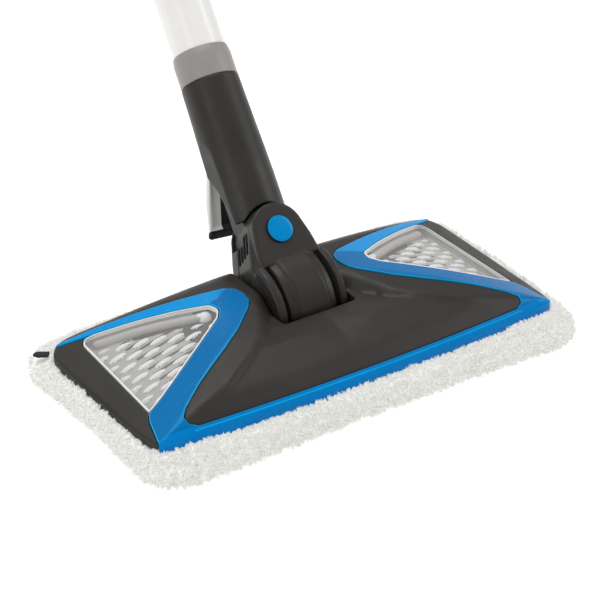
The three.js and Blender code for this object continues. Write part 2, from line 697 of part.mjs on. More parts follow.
// The loop with its section made larger or smaller all round.
function loopSolid(extra) {
  const places = LOOP_SECTIONS.map(([y, z]) => new THREE.Vector3(0, y, z));
  const halves = LOOP_SECTIONS.map(([, , depth, width]) => new THREE.Vector3(depth, width, 0));
  const curve = new THREE.CatmullRomCurve3(places, true);
  const sizes = new THREE.CatmullRomCurve3(halves, true);
  const rings = span(0, 1, LOOP_STEPS).slice(0, -1).map((t) => {
    const centre = curve.getPoint(t);
    const tangent = curve.getTangent(t);
    const size = sizes.getPoint(t);
    return oval(size.y + extra, size.x + extra, 2.5, LOOP_SIDES).map(([across, out]) => [
      across,
      centre.y + out * tangent.z,
      centre.z - out * tangent.y,
    ]);
  });
  return loft(rings, true);
}

const SCREW_HOLES = [{ y: 14, z: 702 }, { y: 10, z: 918 }, { y: -6, z: 1082 }];
const LOWER_HOOK_Z = 722;
const SWITCH_Z = 790;
const LIGHT_Z = 815;
const GLAND_Z = 850;
const UPPER_HOOK_Z = 893;
const HOOK_FACE = 26.4; // just behind the body's back
const CAP_Y = -30; // middle of the tank's spout

// Everything that is cut out of the two body shells.
function unitOpenings() {
  const { bottom, top, back } = TANK;
  return [
    block([-40, -70, bottom - GAP], [40, back + GAP, top + 2 * GAP]),
    block([-16, -70, top], [16, back + GAP, CAP_ROOM_TOP]),
    block([-7.3, -70, 908], [7.3, -30, 928]),
    block([-6.4, -4, 1014], [6.4, 17, 1055]),
    block([-8.3, 20, SWITCH_Z - 10.3], [8.3, 40, SWITCH_Z + 10.3]),
    barY(3 + GAP, 20, 40, 0, LIGHT_Z, 16),
    barY(5 + GAP, 20, 40, 0, GLAND_Z, 16),
    barY(2 + GAP, 20, 40, 0, LOWER_HOOK_Z, 12),
    barY(2 + GAP, 18, 40, 0, UPPER_HOOK_Z, 12),
    barZ(4.3, 640, 690, 0, 0, 16),
    barX(1.5 + GAP, -11.4, 11.4, TRIGGER_PIVOT.y, TRIGGER_PIVOT.z, 12),
    ...SCREW_HOLES.map(({ y, z }) => barX(1.5 + GAP, -9, 40, y, z, 12)),
    ...SCREW_HOLES.map(({ y, z }) => barX(3.2 + GAP, 9, 40, y, z, 12)),
  ];
}

// Left and right shells, split down the middle.
function unitShells() {
  const outside = join(bodySolid(0), loopSolid(0));
  const inside = join(bodySolid(UNIT_WALL), loopSolid(-UNIT_WALL));
  const spigot = barZ(SPIGOT_RADIUS, SOCKET.seat + 3, 668, 0, 0, 32);
  const bosses = SCREW_HOLES.map(({ y, z }) => barX(4.4, -26, 26, y, z, 12));
  const { y, z } = TRIGGER_PIVOT;
  const ears = [[-20, -6.8], [6.8, 20]].map(([from, to]) => barX(3.6, from, to, y, z, 12));
  const inner = join(...bosses, ...ears).intersect(outside);
  const whole = cut(join(cut(outside, inside), spigot, inner), ...unitOpenings());
  const halves = [block([-60, -90, 600], [-GAP / 2, 90, 1200]), block([GAP / 2, -90, 600], [60, 90, 1200])];
  return halves.map((half) => whole.intersect(half));
}

function tankShape() {
  const { bottom, top, back } = TANK;
  const outside = bodySolid(0.2).intersect(block([-40, -70, bottom], [40, back, top]));
  const inside = bodySolid(2.4).intersect(block([-40, -70, bottom + 2.2], [40, back - 2.2, top - 2.2]));
  const spout = barZ(10, top - 1, top + 6, 0, CAP_Y, 24);
  return cut(join(outside, spout), inside, barZ(8, top - 6, top + 10, 0, CAP_Y, 24));
}

function capShape() {
  const { top } = TANK;
  const skirt = barZ(12.4, top + 0.8, top + 11, 0, CAP_Y, 20);
  const room = barZ(10 + GAP, top - 1, top + 6 + GAP, 0, CAP_Y, 24);
  const grip = block([-10.5, CAP_Y - 1.6, top + 10.5], [10.5, CAP_Y + 1.6, top + 14.5]);
  return join(cut(skirt, room), grip);
}

// Wall, floor and ceiling behind the tank, held between the shells.
function tankBayShape() {
  const { bottom, back } = TANK;
  const wall = block([-40, back + 2 * GAP, bottom - 3.2], [40, back + 2.6, CAP_ROOM_TOP + 2.4]);
  const floor = block([-40, -70, bottom - 3.2], [40, back + 2, bottom - 2 * GAP]);
  const ceiling = block([-40, -70, CAP_ROOM_TOP + GAP], [40, back + 2, CAP_ROOM_TOP + 2.4]);
  const room = bodySolid(UNIT_WALL + GAP);
  return cut(join(wall, floor, ceiling).intersect(room), barY(6.2, -30, 10, 0, VALVE_Z, 20));
}

// A hook for the cord: a disc on the body, a post, and a lip turned up (1) or down (-1).
const HOOK_REACH = 17;
function hookShape(z, up) {
  const disc = barY(8, HOOK_FACE, HOOK_FACE + 3.4, 0, z, 20);
  const bar = (fromY, length) => {
    const [low, high] = up > 0 ? [z, z + length] : [z - length, z];
    return block([-6, fromY, low], [6, HOOK_FACE + HOOK_REACH, high]);
  };
  const post = bar(HOOK_FACE + 2, 5);
  const lip = bar(HOOK_FACE + HOOK_REACH - 3.5, 24);
  const stem = barY(2, HOOK_FACE - 5, HOOK_FACE + 1, 0, z, 12);
  return join(disc, post, lip, stem);
}

// Finger lever inside the loop, with its belly towards the fingers.
const TRIGGER_SIDE = [
  [15.6, 1053],
  [7, 1053],
  [1, 1046],
  [-1.4, 1031],
  [1.6, 1018.6],
  [6, 1017.4],
  [9.6, 1024],
  [11.6, 1038],
  [16.4, 1045],
];
function triggerShape() {
  const pinHole = barX(1.5 + GAP, -9, 9, TRIGGER_PIVOT.y, TRIGGER_PIVOT.z, 12);
  return cut(plateYZ(polygon(TRIGGER_SIDE), -6, 6), pinHole);
}

// Sleeve over the top of the tube, bored from below for the tube and from above for the unit's spigot.
const SOCKET_PROFILE = [
  [17.5, SOCKET.bottom],
  [19.4, SOCKET.bottom],
  [21.5, 646],
  [21.5, SOCKET.top],
  [14.2, SOCKET.top],
  [14.2, SOCKET.seat],
  [17.5, SOCKET.seat],
  [17.5, SOCKET.bottom],
];

function buildUnitOutside() {
  const buttonHole = block([-5.3, -30, 645], [5.3, -10, 657]);
  piece(wand, "wand_socket", cut(turned(SOCKET_PROFILE, 40), buttonHole), charcoal);
  const button = join(block([-5, -20, 645.3], [5, -16.4, 656.7]), block([-4, -23.4, 646.5], [4, -19, 655.5]));
  piece(wand, "wand_release_button", button, blue);
  const [left, right] = unitShells();
  piece(wand, "unit_shell_left", left, charcoal);
  piece(wand, "unit_shell_right", right, charcoal);
  piece(wand, "tank_bay", tankBayShape(), black);
  piece(wand, "water_tank", tankShape(), clear);
  piece(wand, "tank_cap", capShape(), blue);
  piece(wand, "tank_valve", barY(4.6, TANK.back + GAP, TANK.back + 8, 0, VALVE_Z, 20), rubber);
  const latch = join(block([-9, -34, 908.4], [9, -31.5, 916]), block([-7, -42, 911], [7, -32, 921]));
  piece(wand, "tank_latch", latch, blue);
  const gripArea = block([-10.5, 26, 974], [10.5, 70, 1054]);
  piece(wand, "grip_insert", cut(loopSolid(2.2), loopSolid(GAP)).intersect(gripArea), rubber);
  piece(wand, "trigger", triggerShape(), blue);
  piece(wand, "trigger_pin", barX(1.5, -11, 11, TRIGGER_PIVOT.y, TRIGGER_PIVOT.z, 12), steel);
  const rocker = [[22.5, -7], [27.6, -9.4], [26.6, 0], [27.6, 9.4], [22.5, 7]];
  const rockerSide = polygon(rocker.map(([y, up]) => [y, SWITCH_Z + up]));
  piece(wand, "power_switch", plateYZ(rockerSide, -8, 8), blue);
  piece(wand, "ready_light", barY(3, 21, 26.9, 0, LIGHT_Z, 16), clear);
  const gland = join(
    barY(5, 22, 27, 0, GLAND_Z, 16),
    barY(8, HOOK_FACE, 30, 0, GLAND_Z, 20),
    barY(5.6, 29, 36, 0, GLAND_Z, 16),
  );
  piece(wand, "cord_gland", cut(gland, barY(3.4, 10, 50, 0, GLAND_Z, 12)), rubber);
  piece(wand, "cord_hook_lower", hookShape(LOWER_HOOK_Z, -1), charcoal);
  piece(wand, "cord_hook_upper", hookShape(UPPER_HOOK_Z, 1), charcoal);
  SCREW_HOLES.forEach(({ y, z }, i) => {
    const screw = join(barX(1.5, -8, 10, y, z, 12), barX(3.2, 9.3, 11.6, y, z, 12));
    piece(wand, `unit_screw_${i + 1}`, screw, steel);
  });
}

// Middle lines of the two hoses: boiler to steam pipe, and valve to pump.
const STEAM_ROUTE = [
  [0, 12, 759.6],
  [0, 11, 742],
  [0, 3, 712],
  [0, 0, 690],
  [0, 0, SOCKET.top - 1.4],
];
const WATER_ROUTE = [
  [0, 2.6, VALVE_Z],
  [-7, 2.4, 751],
  [-16, 0.6, 760],
  [-19, 0, 785],
  [-19, 0, 830],
  [-17, 1.4, 846],
  [-10.6, 3.8, 855],
  [-9, 4, 858.6],
];

function buildUnitInside() {
  const boiler = join(barZ(12, 766, 850, 0, 9, 24), barZ(3, 760, 767, 0, 12, 12));
  piece(wand, "boiler", boiler, aluminium);
  piece(wand, "pump", join(block([-13, -3, 863], [13, 19, 884]), barZ(3, 860, 864, -9, 4, 12)), black);
  piece(wand, "control_board", block([15, -3, 770], [16.6, 18, 850]), board);
  piece(wand, "steam_hose", hose(STEAM_ROUTE, 3, 12, 8), silicone);
  piece(wand, "water_hose", hose(WATER_ROUTE, 2.2, 20, 8), silicone);
  piece(wand, "micro_switch", block([-3.4, 19, 1018], [3.4, 27, 1036]), black);
}

buildHead();
buildKnuckle();
buildLowerWand();
buildUnitOutside();
buildUnitInside();

export default mop;
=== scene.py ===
"""Looks of the steam mop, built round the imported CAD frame.

Metres, +Z up, the front of the head at -Y. Shapes are worked out in millimetres in the frame of
the body that they belong to (head, knuckle or wand) and placed by that body's matrix.
"""

import json
import math

import bpy
import numpy as np
from mathutils import Matrix, Vector
from mathutils.geometry import delaunay_2d_cdt
from mathutils.kdtree import KDTree
from mathutils.noise import fractal


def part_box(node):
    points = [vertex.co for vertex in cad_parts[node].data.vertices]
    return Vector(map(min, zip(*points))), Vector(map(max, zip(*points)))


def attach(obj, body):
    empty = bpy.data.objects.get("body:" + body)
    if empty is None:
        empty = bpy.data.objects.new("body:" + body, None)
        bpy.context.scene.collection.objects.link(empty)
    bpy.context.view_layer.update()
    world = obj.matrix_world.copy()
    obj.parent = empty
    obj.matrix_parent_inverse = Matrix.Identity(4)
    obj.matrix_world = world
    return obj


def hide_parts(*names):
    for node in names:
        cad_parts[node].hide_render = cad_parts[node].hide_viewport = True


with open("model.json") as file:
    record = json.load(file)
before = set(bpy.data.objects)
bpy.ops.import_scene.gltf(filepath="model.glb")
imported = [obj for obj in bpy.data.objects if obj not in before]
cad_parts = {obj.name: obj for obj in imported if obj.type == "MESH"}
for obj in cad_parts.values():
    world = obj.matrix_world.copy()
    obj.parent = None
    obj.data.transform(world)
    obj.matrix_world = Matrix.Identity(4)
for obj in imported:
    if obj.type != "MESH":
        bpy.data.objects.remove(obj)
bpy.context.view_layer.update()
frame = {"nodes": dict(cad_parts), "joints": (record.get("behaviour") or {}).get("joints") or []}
joints = {joint["name"]: joint for joint in frame["joints"]}

# ---------- body frames ----------
MM = 0.001
PITCH = joints["foot_pitch"]
ROLL = joints["neck_roll"]
LEAN = math.radians(-PITCH["range_deg"][0])  # the wand is upright at the pitch joint's lower limit
TIP = math.radians(-sum(ROLL["range_deg"]) / 2)  # and straight in the middle of the roll joint's range

IN_HEAD = Matrix.Scale(MM, 4)
IN_KNUCKLE = Matrix.Translation(PITCH["pos_m"]) @ Matrix.Rotation(-LEAN, 4, "X") @ IN_HEAD
IN_WAND = (
    Matrix.Translation(ROLL["pos_m"])
    @ Matrix.Rotation(-LEAN, 4, "X")
    @ Matrix.Rotation(TIP, 4, "Y")
    @ IN_HEAD
)
PLACES = {"head": IN_HEAD, "knuckle": IN_KNUCKLE}  # every other body is drawn in the wand's frame

# ---------- driving dimensions, in millimetres ----------
HEAD_HALF_DEPTH = 64
FRONT_BOW = 5.5
RIM_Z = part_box("top_cover")[0].z / MM
POCKET_RADIUS = 35.8
POCKET_HALF_WIDTH = 27
POCKET_MARGIN = 2.6  # from the pocket's curve at the deck's height to the cover's edge
PITCH_Y, PITCH_Z = (value / MM for value in PITCH["pos_m"][1:])
TRIM_PROUD = 0.8
COVER_WALL = 3.6
GAP = 0.3  # between pieces that fit together


# ---------- camera, light and floor ----------
CAMERA_PLACE = Vector((-0.8385, -1.2308, 0.9308))
CAMERA_AZIMUTH = math.radians(-34.15)
CAMERA_ELEVATION = math.radians(30.90)
CAMERA_LENS = 168.0
LIGHT_TARGET = (0, 0.1, 0.1)
# Name, place, size and power of each light, in metres and watts.
LIGHTS = [
    ("overhead", (0.0, 0.5, 1.9), (1.6, 1.2), 16),
    ("left_front", (-1.9, -0.5, 0.9), (0.5, 1.6), 8),
    ("right_front", (1.7, -0.7, 1.0), (0.5, 1.6), 9),
    ("low_back", (0.3, 2.2, 0.9), (1.8, 0.8), 5),
]
WORLD_STRENGTH = 0.46
FLOOR_HALF, FLOOR_Z, FLOOR_GLOW = 12.0, -0.0006, 0.35


def add_object(name, data):
    made = bpy.data.objects.new(name, data)
    bpy.context.scene.collection.objects.link(made)
    return made


def aim(made, toward):
    """Points a camera or a light along a direction."""
    made.rotation_mode = "QUATERNION"
    made.rotation_quaternion = toward.to_track_quat("-Z", "Y")


def add_camera():
    camera = add_object("camera", bpy.data.cameras.new("camera"))
    camera.data.lens = CAMERA_LENS
    camera.data.sensor_width = 36.0
    camera.data.clip_end = 20.0
    flat = math.cos(CAMERA_ELEVATION)
    back = Vector((
        math.sin(CAMERA_AZIMUTH) * flat,
        -math.cos(CAMERA_AZIMUTH) * flat,
        math.sin(CAMERA_ELEVATION),
    ))
    camera.location = CAMERA_PLACE
    aim(camera, -back)
    bpy.context.scene.camera = camera


def add_light(name, place, size, power):
    lamp = bpy.data.lights.new(name, "AREA")
    lamp.shape = "RECTANGLE"
    lamp.size, lamp.size_y = size
    lamp.energy = power
    light = add_object(name, lamp)
    light.location = place
    aim(light, Vector(LIGHT_TARGET) - Vector(place))


def add_studio():
    for light in LIGHTS:
        add_light(*light)
    world = bpy.data.worlds.new("studio")
    world.use_nodes = True
    set_values(world.node_tree.nodes["Background"], {"Color": (1, 1, 1, 1), "Strength": WORLD_STRENGTH})
    bpy.context.scene.world = world
    bpy.context.scene.view_settings.view_transform = "Standard"


def add_floor():
    mesh = bpy.data.meshes.new("floor")
    signs = (-1, -1), (1, -1), (1, 1), (-1, 1)
    corners = [(x * FLOOR_HALF, y * FLOOR_HALF, FLOOR_Z) for x, y in signs]
    mesh.from_pydata(corners, [], [(0, 1, 2, 3)])
    floor = add_object("floor", mesh)
    glow = {"Emission_Color": (1, 1, 1, 1), "Emission_Strength": FLOOR_GLOW}
    paper, _ = new_material("floor_paper", (0.96, 0.96, 0.955), 0.6, Specular_IOR_Level=0.2, **glow)
    mesh.materials.append(paper)


# ---------- materials ----------
def linear(colour):
    """An sRGB colour, 0 to 1, as the shader's linear one."""
    return tuple(c / 12.92 if c <= 0.04045 else ((c + 0.055) / 1.055) ** 2.4 for c in colour)


def set_values(node, values):
    """Sets a node's inputs by name, with _ for a space, or its properties where no input has the name."""
    for key, value in values.items():
        name = key.replace("_", " ")
        if name in node.inputs:
            node.inputs[name].default_value = value
        else:
            setattr(node, key, value)


def new_material(name, colour, roughness, **values):
    material = bpy.data.materials.new(name)
    material.use_nodes = True
    shader = material.node_tree.nodes["Principled BSDF"]
    set_values(shader, {"Base_Color": (*linear(colour), 1), "Roughness": roughness, **values})
    return material, shader


def add_node(material, kind, **values):
    node = material.node_tree.nodes.new(kind)
    set_values(node, values)
    return node


def link(material, source, target):
    material.node_tree.links.new(source, target)


def add_noise(material, size, detail=3.0):
    """Noise with features of about that size in metres, fixed to the piece."""
    place = add_node(material, "ShaderNodeTexCoord")
    noise = add_node(material, "ShaderNodeTexNoise", Scale=1 / size, Detail=detail)
    link(material, place.outputs["Object"], noise.inputs["Vector"])
    return noise.outputs["Fac"]


def ramp(material, source, low, high, start=0.3, end=0.7):
    """A value or a colour that goes from low to high as the source goes from start to end."""
    limits = {"From_Min": start, "From_Max": end, "To_Min": low, "To_Max": high}
    node = add_node(material, "ShaderNodeMapRange", **limits)
    link(material, source, node.inputs["Value"])
    return node.outputs["Result"]


def mix_colours(material, factor, first, second):
    node = add_node(material, "ShaderNodeMix", data_type="RGBA")
    node.inputs[6].default_value = (*linear(first), 1)
    node.inputs[7].default_value = (*linear(second), 1)
    link(material, factor, node.inputs["Factor"])
    return node.outputs[2]


def vary_tone(material, shader, noise, first, second, *limits):
    """The base colour goes from the first to the second with the noise."""
    tone = ramp(material, noise, 0.0, 1.0, *limits)
    link(material, mix_colours(material, tone, first, second), shader.inputs["Base Color"])


def vary_gloss(material, shader, noise, low, high):
    link(material, ramp(material, noise, low, high), shader.inputs["Roughness"])


def add_bump(material, shader, height, distance):
    bump = add_node(material, "ShaderNodeBump", Strength=1.0, Distance=distance)
    link(material, height, bump.inputs["Height"])
    link(material, bump.outputs["Normal"], shader.inputs["Normal"])


def moulded_plastic(name, colour, lighter, roughness, grain, depth, spread=0.06):
    """Plastic with a fine moulded grain, a slight change of tone and uneven gloss."""
    material, shader = new_material(name, colour, roughness, Specular_IOR_Level=0.35)
    vary_tone(material, shader, add_noise(material, 0.035), colour, lighter)
    vary_gloss(material, shader, add_noise(material, 0.012, 4), roughness - spread, roughness + spread)
    add_bump(material, shader, add_noise(material, grain, 2), depth)
    return material


def glossy_plastic(name, colour, deeper, gleam=(1, 1, 1)):
    """Polished coloured plastic: hardly any grain, a tinted gleam and faint flow marks."""
    material, shader = new_material(name, colour, 0.24, Specular_Tint=(*gleam, 1))
    vary_tone(material, shader, add_noise(material, 0.05), colour, deeper)
    vary_gloss(material, shader, add_noise(material, 0.006, 4), 0.19, 0.29)
    add_bump(material, shader, add_noise(material, 0.004, 2), 0.00003)
    return material


def clear_plastic(name, tint, alpha, roughness):
    """Clear moulding, as a thin tinted veil that lets light reach what lies below it."""
    material, shader = new_material(name, tint, roughness, Alpha=alpha)
    vary_gloss(material, shader, add_noise(material, 0.01, 4), roughness * 0.6, roughness * 1.6)
    add_bump(material, shader, add_noise(material, 0.006, 1), 0.00004)
    return material


def bright_metal(name, colour, roughness, streak):
    """Metal with fine brushing along one direction of the piece."""
    material, shader = new_material(name, colour, roughness, Metallic=1.0)
    place = add_node(material, "ShaderNodeTexCoord")
    stretch = add_node(material, "ShaderNodeMapping", Scale=streak)
    link(material, place.outputs["Object"], stretch.inputs["Vector"])
    noise = add_node(material, "ShaderNodeTexNoise", Scale=400.0, Detail=4.0)
    link(material, stretch.outputs["Vector"], noise.inputs["Vector"])
    vary_gloss(material, shader, noise.outputs["Fac"], roughness - 0.08, roughness + 0.12)
    add_bump(material, shader, noise.outputs["Fac"], 0.00002)
    return material


def pile_material(name, colour, shadow, glow):
    """Soft white fibre: sheen, an emission glow as painted light for the light that many fibres pass on, and
    painted shade in specks from noise.
    """
    soft = {"Sheen_Weight": 0.4, "Sheen_Roughness": 0.5, "Specular_IOR_Level": 0.2}
    light = {"Emission_Color": (1, 1, 0.985, 1), "Emission_Strength": glow}
    material, shader = new_material(name, colour, 0.9, **soft, **light)
    vary_tone(material, shader, add_noise(material, 0.0022, 4), shadow, colour, 0.3, 0.5)
    add_bump(material, shader, add_noise(material, 0.0012, 3), 0.0006)
    return material


# Each look's colour, second colour, roughness, size of the grain and depth of the grain in metres.
MOULDED = {
    "charcoal": ((0.16, 0.153, 0.140), (0.178, 0.17, 0.157), 0.42, 0.0006, 0.00002),
    "black": ((0.07, 0.07, 0.07), (0.095, 0.095, 0.095), 0.55, 0.0008, 0.00003),
    "light_grey": ((0.90, 0.90, 0.89), (0.93, 0.93, 0.92), 0.34, 0.0005, 0.00001),
    "silver": ((0.70, 0.69, 0.675), (0.76, 0.75, 0.735), 0.34, 0.0005, 0.00001),
    # Dark grey used only as painted shade on the diffuser plates.
    "slate": ((0.27, 0.265, 0.26), (0.38, 0.375, 0.365), 0.36, 0.0006, 0.00001),
    "pearl": ((0.985, 0.985, 0.98), (0.94, 0.94, 0.935), 0.2, 0.001, 0.00001, 0.04),
    "grey": ((0.575, 0.56, 0.55), (0.60, 0.585, 0.575), 0.36, 0.0006, 0.00001),
    "rubber": ((0.13, 0.13, 0.13), (0.16, 0.16, 0.16), 0.75, 0.0005, 0.00005),
    "silicone": ((0.88, 0.86, 0.81), (0.84, 0.82, 0.77), 0.5, 0.001, 0.00002),
    "board": ((0.12, 0.42, 0.27), (0.09, 0.35, 0.22), 0.4, 0.002, 0.00004),
}
BLUE_GLEAM = (0.1, 0.7, 1.0)
# Colour and deeper colour, and the tint of the gleam where it isn't white.
GLOSSY = {
    "blue": ((0.0, 0.45, 0.715), (0.0, 0.425, 0.685), BLUE_GLEAM),
    # Lit copies of the blue: painted light for the trim's front strip and back strips.
    "blue_front": ((0.0, 0.52, 0.84), (0.0, 0.50, 0.81), BLUE_GLEAM),
    "blue_back": ((0.0, 0.60, 0.90), (0.0, 0.57, 0.87), BLUE_GLEAM),
    # A painted highlight of the blue, for the trim's crease and edges.
    "blue_edge": ((0.10, 0.68, 0.90), (0.06, 0.62, 0.86), BLUE_GLEAM),
    "blue_cap": ((0.0, 0.53, 0.80), (0.0, 0.515, 0.785), BLUE_GLEAM),
    "tube": ((0.95, 0.945, 0.93), (0.93, 0.925, 0.91)),
}
# Tint, alpha and roughness.
CLEAR = {
    "clear": ((0.90, 0.90, 0.90), 0.1, 0.05),
    "water_clear": ((0.70, 0.80, 0.86), 0.45, 0.1),
}
# Colour, roughness and how far the brushing stretches along each axis.
METAL = {
    "steel": ((0.72, 0.73, 0.74), 0.28, (1, 1, 14)),
    "aluminium": ((0.78, 0.785, 0.79), 0.4, (1, 1, 1)),
}
# Colour, colour of the painted shade in the hollows, and glow, an emission that paints in the light passed
# on between fibres.
PILE = {
    "pile": ((0.97, 0.968, 0.952), (0.87, 0.868, 0.852), 0.15),
    "fibre": ((0.975, 0.973, 0.957), (0.90, 0.898, 0.882), 0.20),
}


def make_materials():
    kinds = (
        (moulded_plastic, MOULDED),
        (glossy_plastic, GLOSSY),
        (clear_plastic, CLEAR),
        (bright_metal, METAL),
        (pile_material, PILE),
    )
    return {name: make(name, *values) for make, table in kinds for name, values in table.items()}


LOOKS = make_materials()


def paint(piece, body, look, chosen):
    """Gives another look to the faces that chosen(centres, normals) picks, in body millimetres."""
    mesh = piece.data
    back = np.array(PLACES.get(body, IN_WAND).inverted())
    centres = read_rows(mesh.polygons, "center") @ back[:3, :3].T + back[:3, 3]
    normals = unit_rows(read_rows(mesh.polygons, "normal") @ back[:3, :3].T)
    index = np.zeros(len(centres), np.int32)
    mesh.polygons.foreach_get("material_index", index)
    index[chosen(centres.T, normals.T)] = len(mesh.materials)
    mesh.materials.append(LOOKS[look])
    mesh.polygons.foreach_set("material_index", index)


# ---------- meshes ----------
def unit_rows(vectors):
    return vectors / np.maximum(np.linalg.norm(vectors, axis=1), 1e-9)[:, None]


def read_rows(items, field, kind=float):
    """A field with three values per item of a mesh, as an array with a row per item."""
    flat = np.empty(len(items) * 3, kind)
    items.foreach_get(field, flat)
    return flat.reshape(-1, 3)


def add_piece(name, body, look, points, faces, node, angle=35):
    """A piece from points in its body's millimetres, riding on the body and standing for a CAD node."""
    mesh = bpy.data.meshes.new(name)
    mesh.from_pydata([tuple(point) for point in points], [], [tuple(face) for face in faces])
    mesh.transform(PLACES.get(body, IN_WAND))
    mesh.validate()
    mesh.shade_smooth()
    mesh.set_sharp_from_angle(angle=math.radians(angle))
    mesh.materials.append(LOOKS[look])
    made = add_object(name, mesh)
    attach(made, body)
    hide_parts(node)
    return made


def joined(parts):
    """Several (points, faces) as one."""
    points, faces, start = [], [], 0
    for more_points, more_faces in parts:
        points.extend(tuple(point) for point in more_points)
        faces.extend(tuple(int(corner) + start for corner in face) for face in more_faces)
        start += len(more_points)
    return points, faces


def lathe(profile, sides=96, axis="z", centre=(0, 0)):
    """A closed profile of (radius, height) points, starting and ending on the axis or on itself."""
    closed = profile[0] == profile[-1]
    rings = profile[:-1] if closed else profile
    points, rows = [], []
    for radius, height in rings:
        count = 1 if radius < 1e-6 else sides
        rows.append(list(range(len(points), len(points) + count)))
        for i in range(count):
            turn = 2 * math.pi * i / sides
            points.append((radius * math.cos(turn), radius * math.sin(turn), height))
    faces = []
    pairs = list(zip(rows, rows[1:])) + ([(rows[-1], rows[0])] if closed else [])
    for lower, upper in pairs:
        for i in range(sides):
            corners = ((lower, i), (lower, i + 1), (upper, i + 1), (upper, i))
            face = list(dict.fromkeys(row[k % len(row)] for row, k in corners))
            if len(face) > 2:
                faces.append(face)
    a, b = centre
    if axis == "y":
        points = [(a + x, z, b - y) for x, y, z in points]
    else:
        points = [(a + x, b + y, z) for x, y, z in points]
    return points, faces


# ---------- outlines ----------
def span(start, end, count):
    return [start + (end - start) * i / count for i in range(count + 1)]


def mirrored(points):
    return [(-x, y) for x, y in reversed(points)]


def both_sides(right):
    return list(right) + mirrored(right)[1:-1]


def spline(knots, t):
    """A point between the middle two of four knots on a smooth curve, t going from 0 to 1."""
    a, b, c, d = knots
    return 0.5 * (2 * b + (c - a) * t + (2 * a - 5 * b + 4 * c - d) * t**2 + (3 * b - a - 3 * c + d) * t**3)


def grown(points, distance):
    """An outline moved outwards by a distance, or inwards where it is negative."""
    here = np.array(points, float)
    before, after = np.roll(here, 1, 0), np.roll(here, -1, 0)
    area = np.sum(here[:, 0] * after[:, 1] - after[:, 0] * here[:, 1])
    first, second = unit_rows(here - before), unit_rows(after - here)
    normal = unit_rows(np.stack([first[:, 1] + second[:, 1], -first[:, 0] - second[:, 0]], 1))
    reach = np.maximum(0.4, normal[:, 0] * first[:, 1] - normal[:, 1] * first[:, 0])
    return [tuple(p) for p in here + normal * (distance * np.sign(area) / reach)[:, None]]


def rounded(points, radius, steps=5):
    """An outline with each clear corner rounded."""
    result = []
    count = len(points)
    for i, (x, y) in enumerate(points):
        here = np.array((x, y))
        before = np.array(points[i - 1]) - here
        after = np.array(points[(i + 1) % count]) - here
        lengths = np.linalg.norm(before), np.linalg.norm(after)
        before, after = before / lengths[0], after / lengths[1]
        if np.dot(before, after) < -0.97:
            result.append((x, y))
            continue
        reach = min(radius, 0.45 * lengths[0], 0.45 * lengths[1])
        start, end = here + before * reach, here + after * reach
        for t in span(0, 1, steps):
            result.append(tuple((1 - t) ** 2 * start + 2 * t * (1 - t) * here + t**2 * end))
    return result


def resampled(points, spacing):
    """The same outline with more points along its long edges."""
    result = []
    for here, after in zip(points, list(points[1:]) + [points[0]]):
        steps = max(1, round(math.dist(here, after) / spacing))
        for t in span(0, 1, steps)[:-1]:
            result.append((here[0] + t * (after[0] - here[0]), here[1] + t * (after[1] - here[1])))
    return result


def outline_distance(u, v, points):
    """Distance to an outline, negative inside it, for arrays u and v."""
    u, v = np.broadcast_arrays(u, v)
    nearest = np.full(u.shape, 1e12)
    inside = np.zeros(u.shape, bool)
    for (ax, ay), (bx, by) in zip(points, list(points[1:]) + [points[0]]):
        ex, ey = bx - ax, by - ay
        wx, wy = u - ax, v - ay
        t = np.clip((wx * ex + wy * ey) / (ex * ex + ey * ey + 1e-12), 0, 1)
        nearest = np.minimum(nearest, (wx - t * ex) ** 2 + (wy - t * ey) ** 2)
        if ay != by:
            crosses = ((ay > v) != (by > v)) & (u < (bx - ax) * (v - ay) / (by - ay) + ax)
            inside ^= crosses
    return np.sqrt(nearest) * np.where(inside, -1, 1)


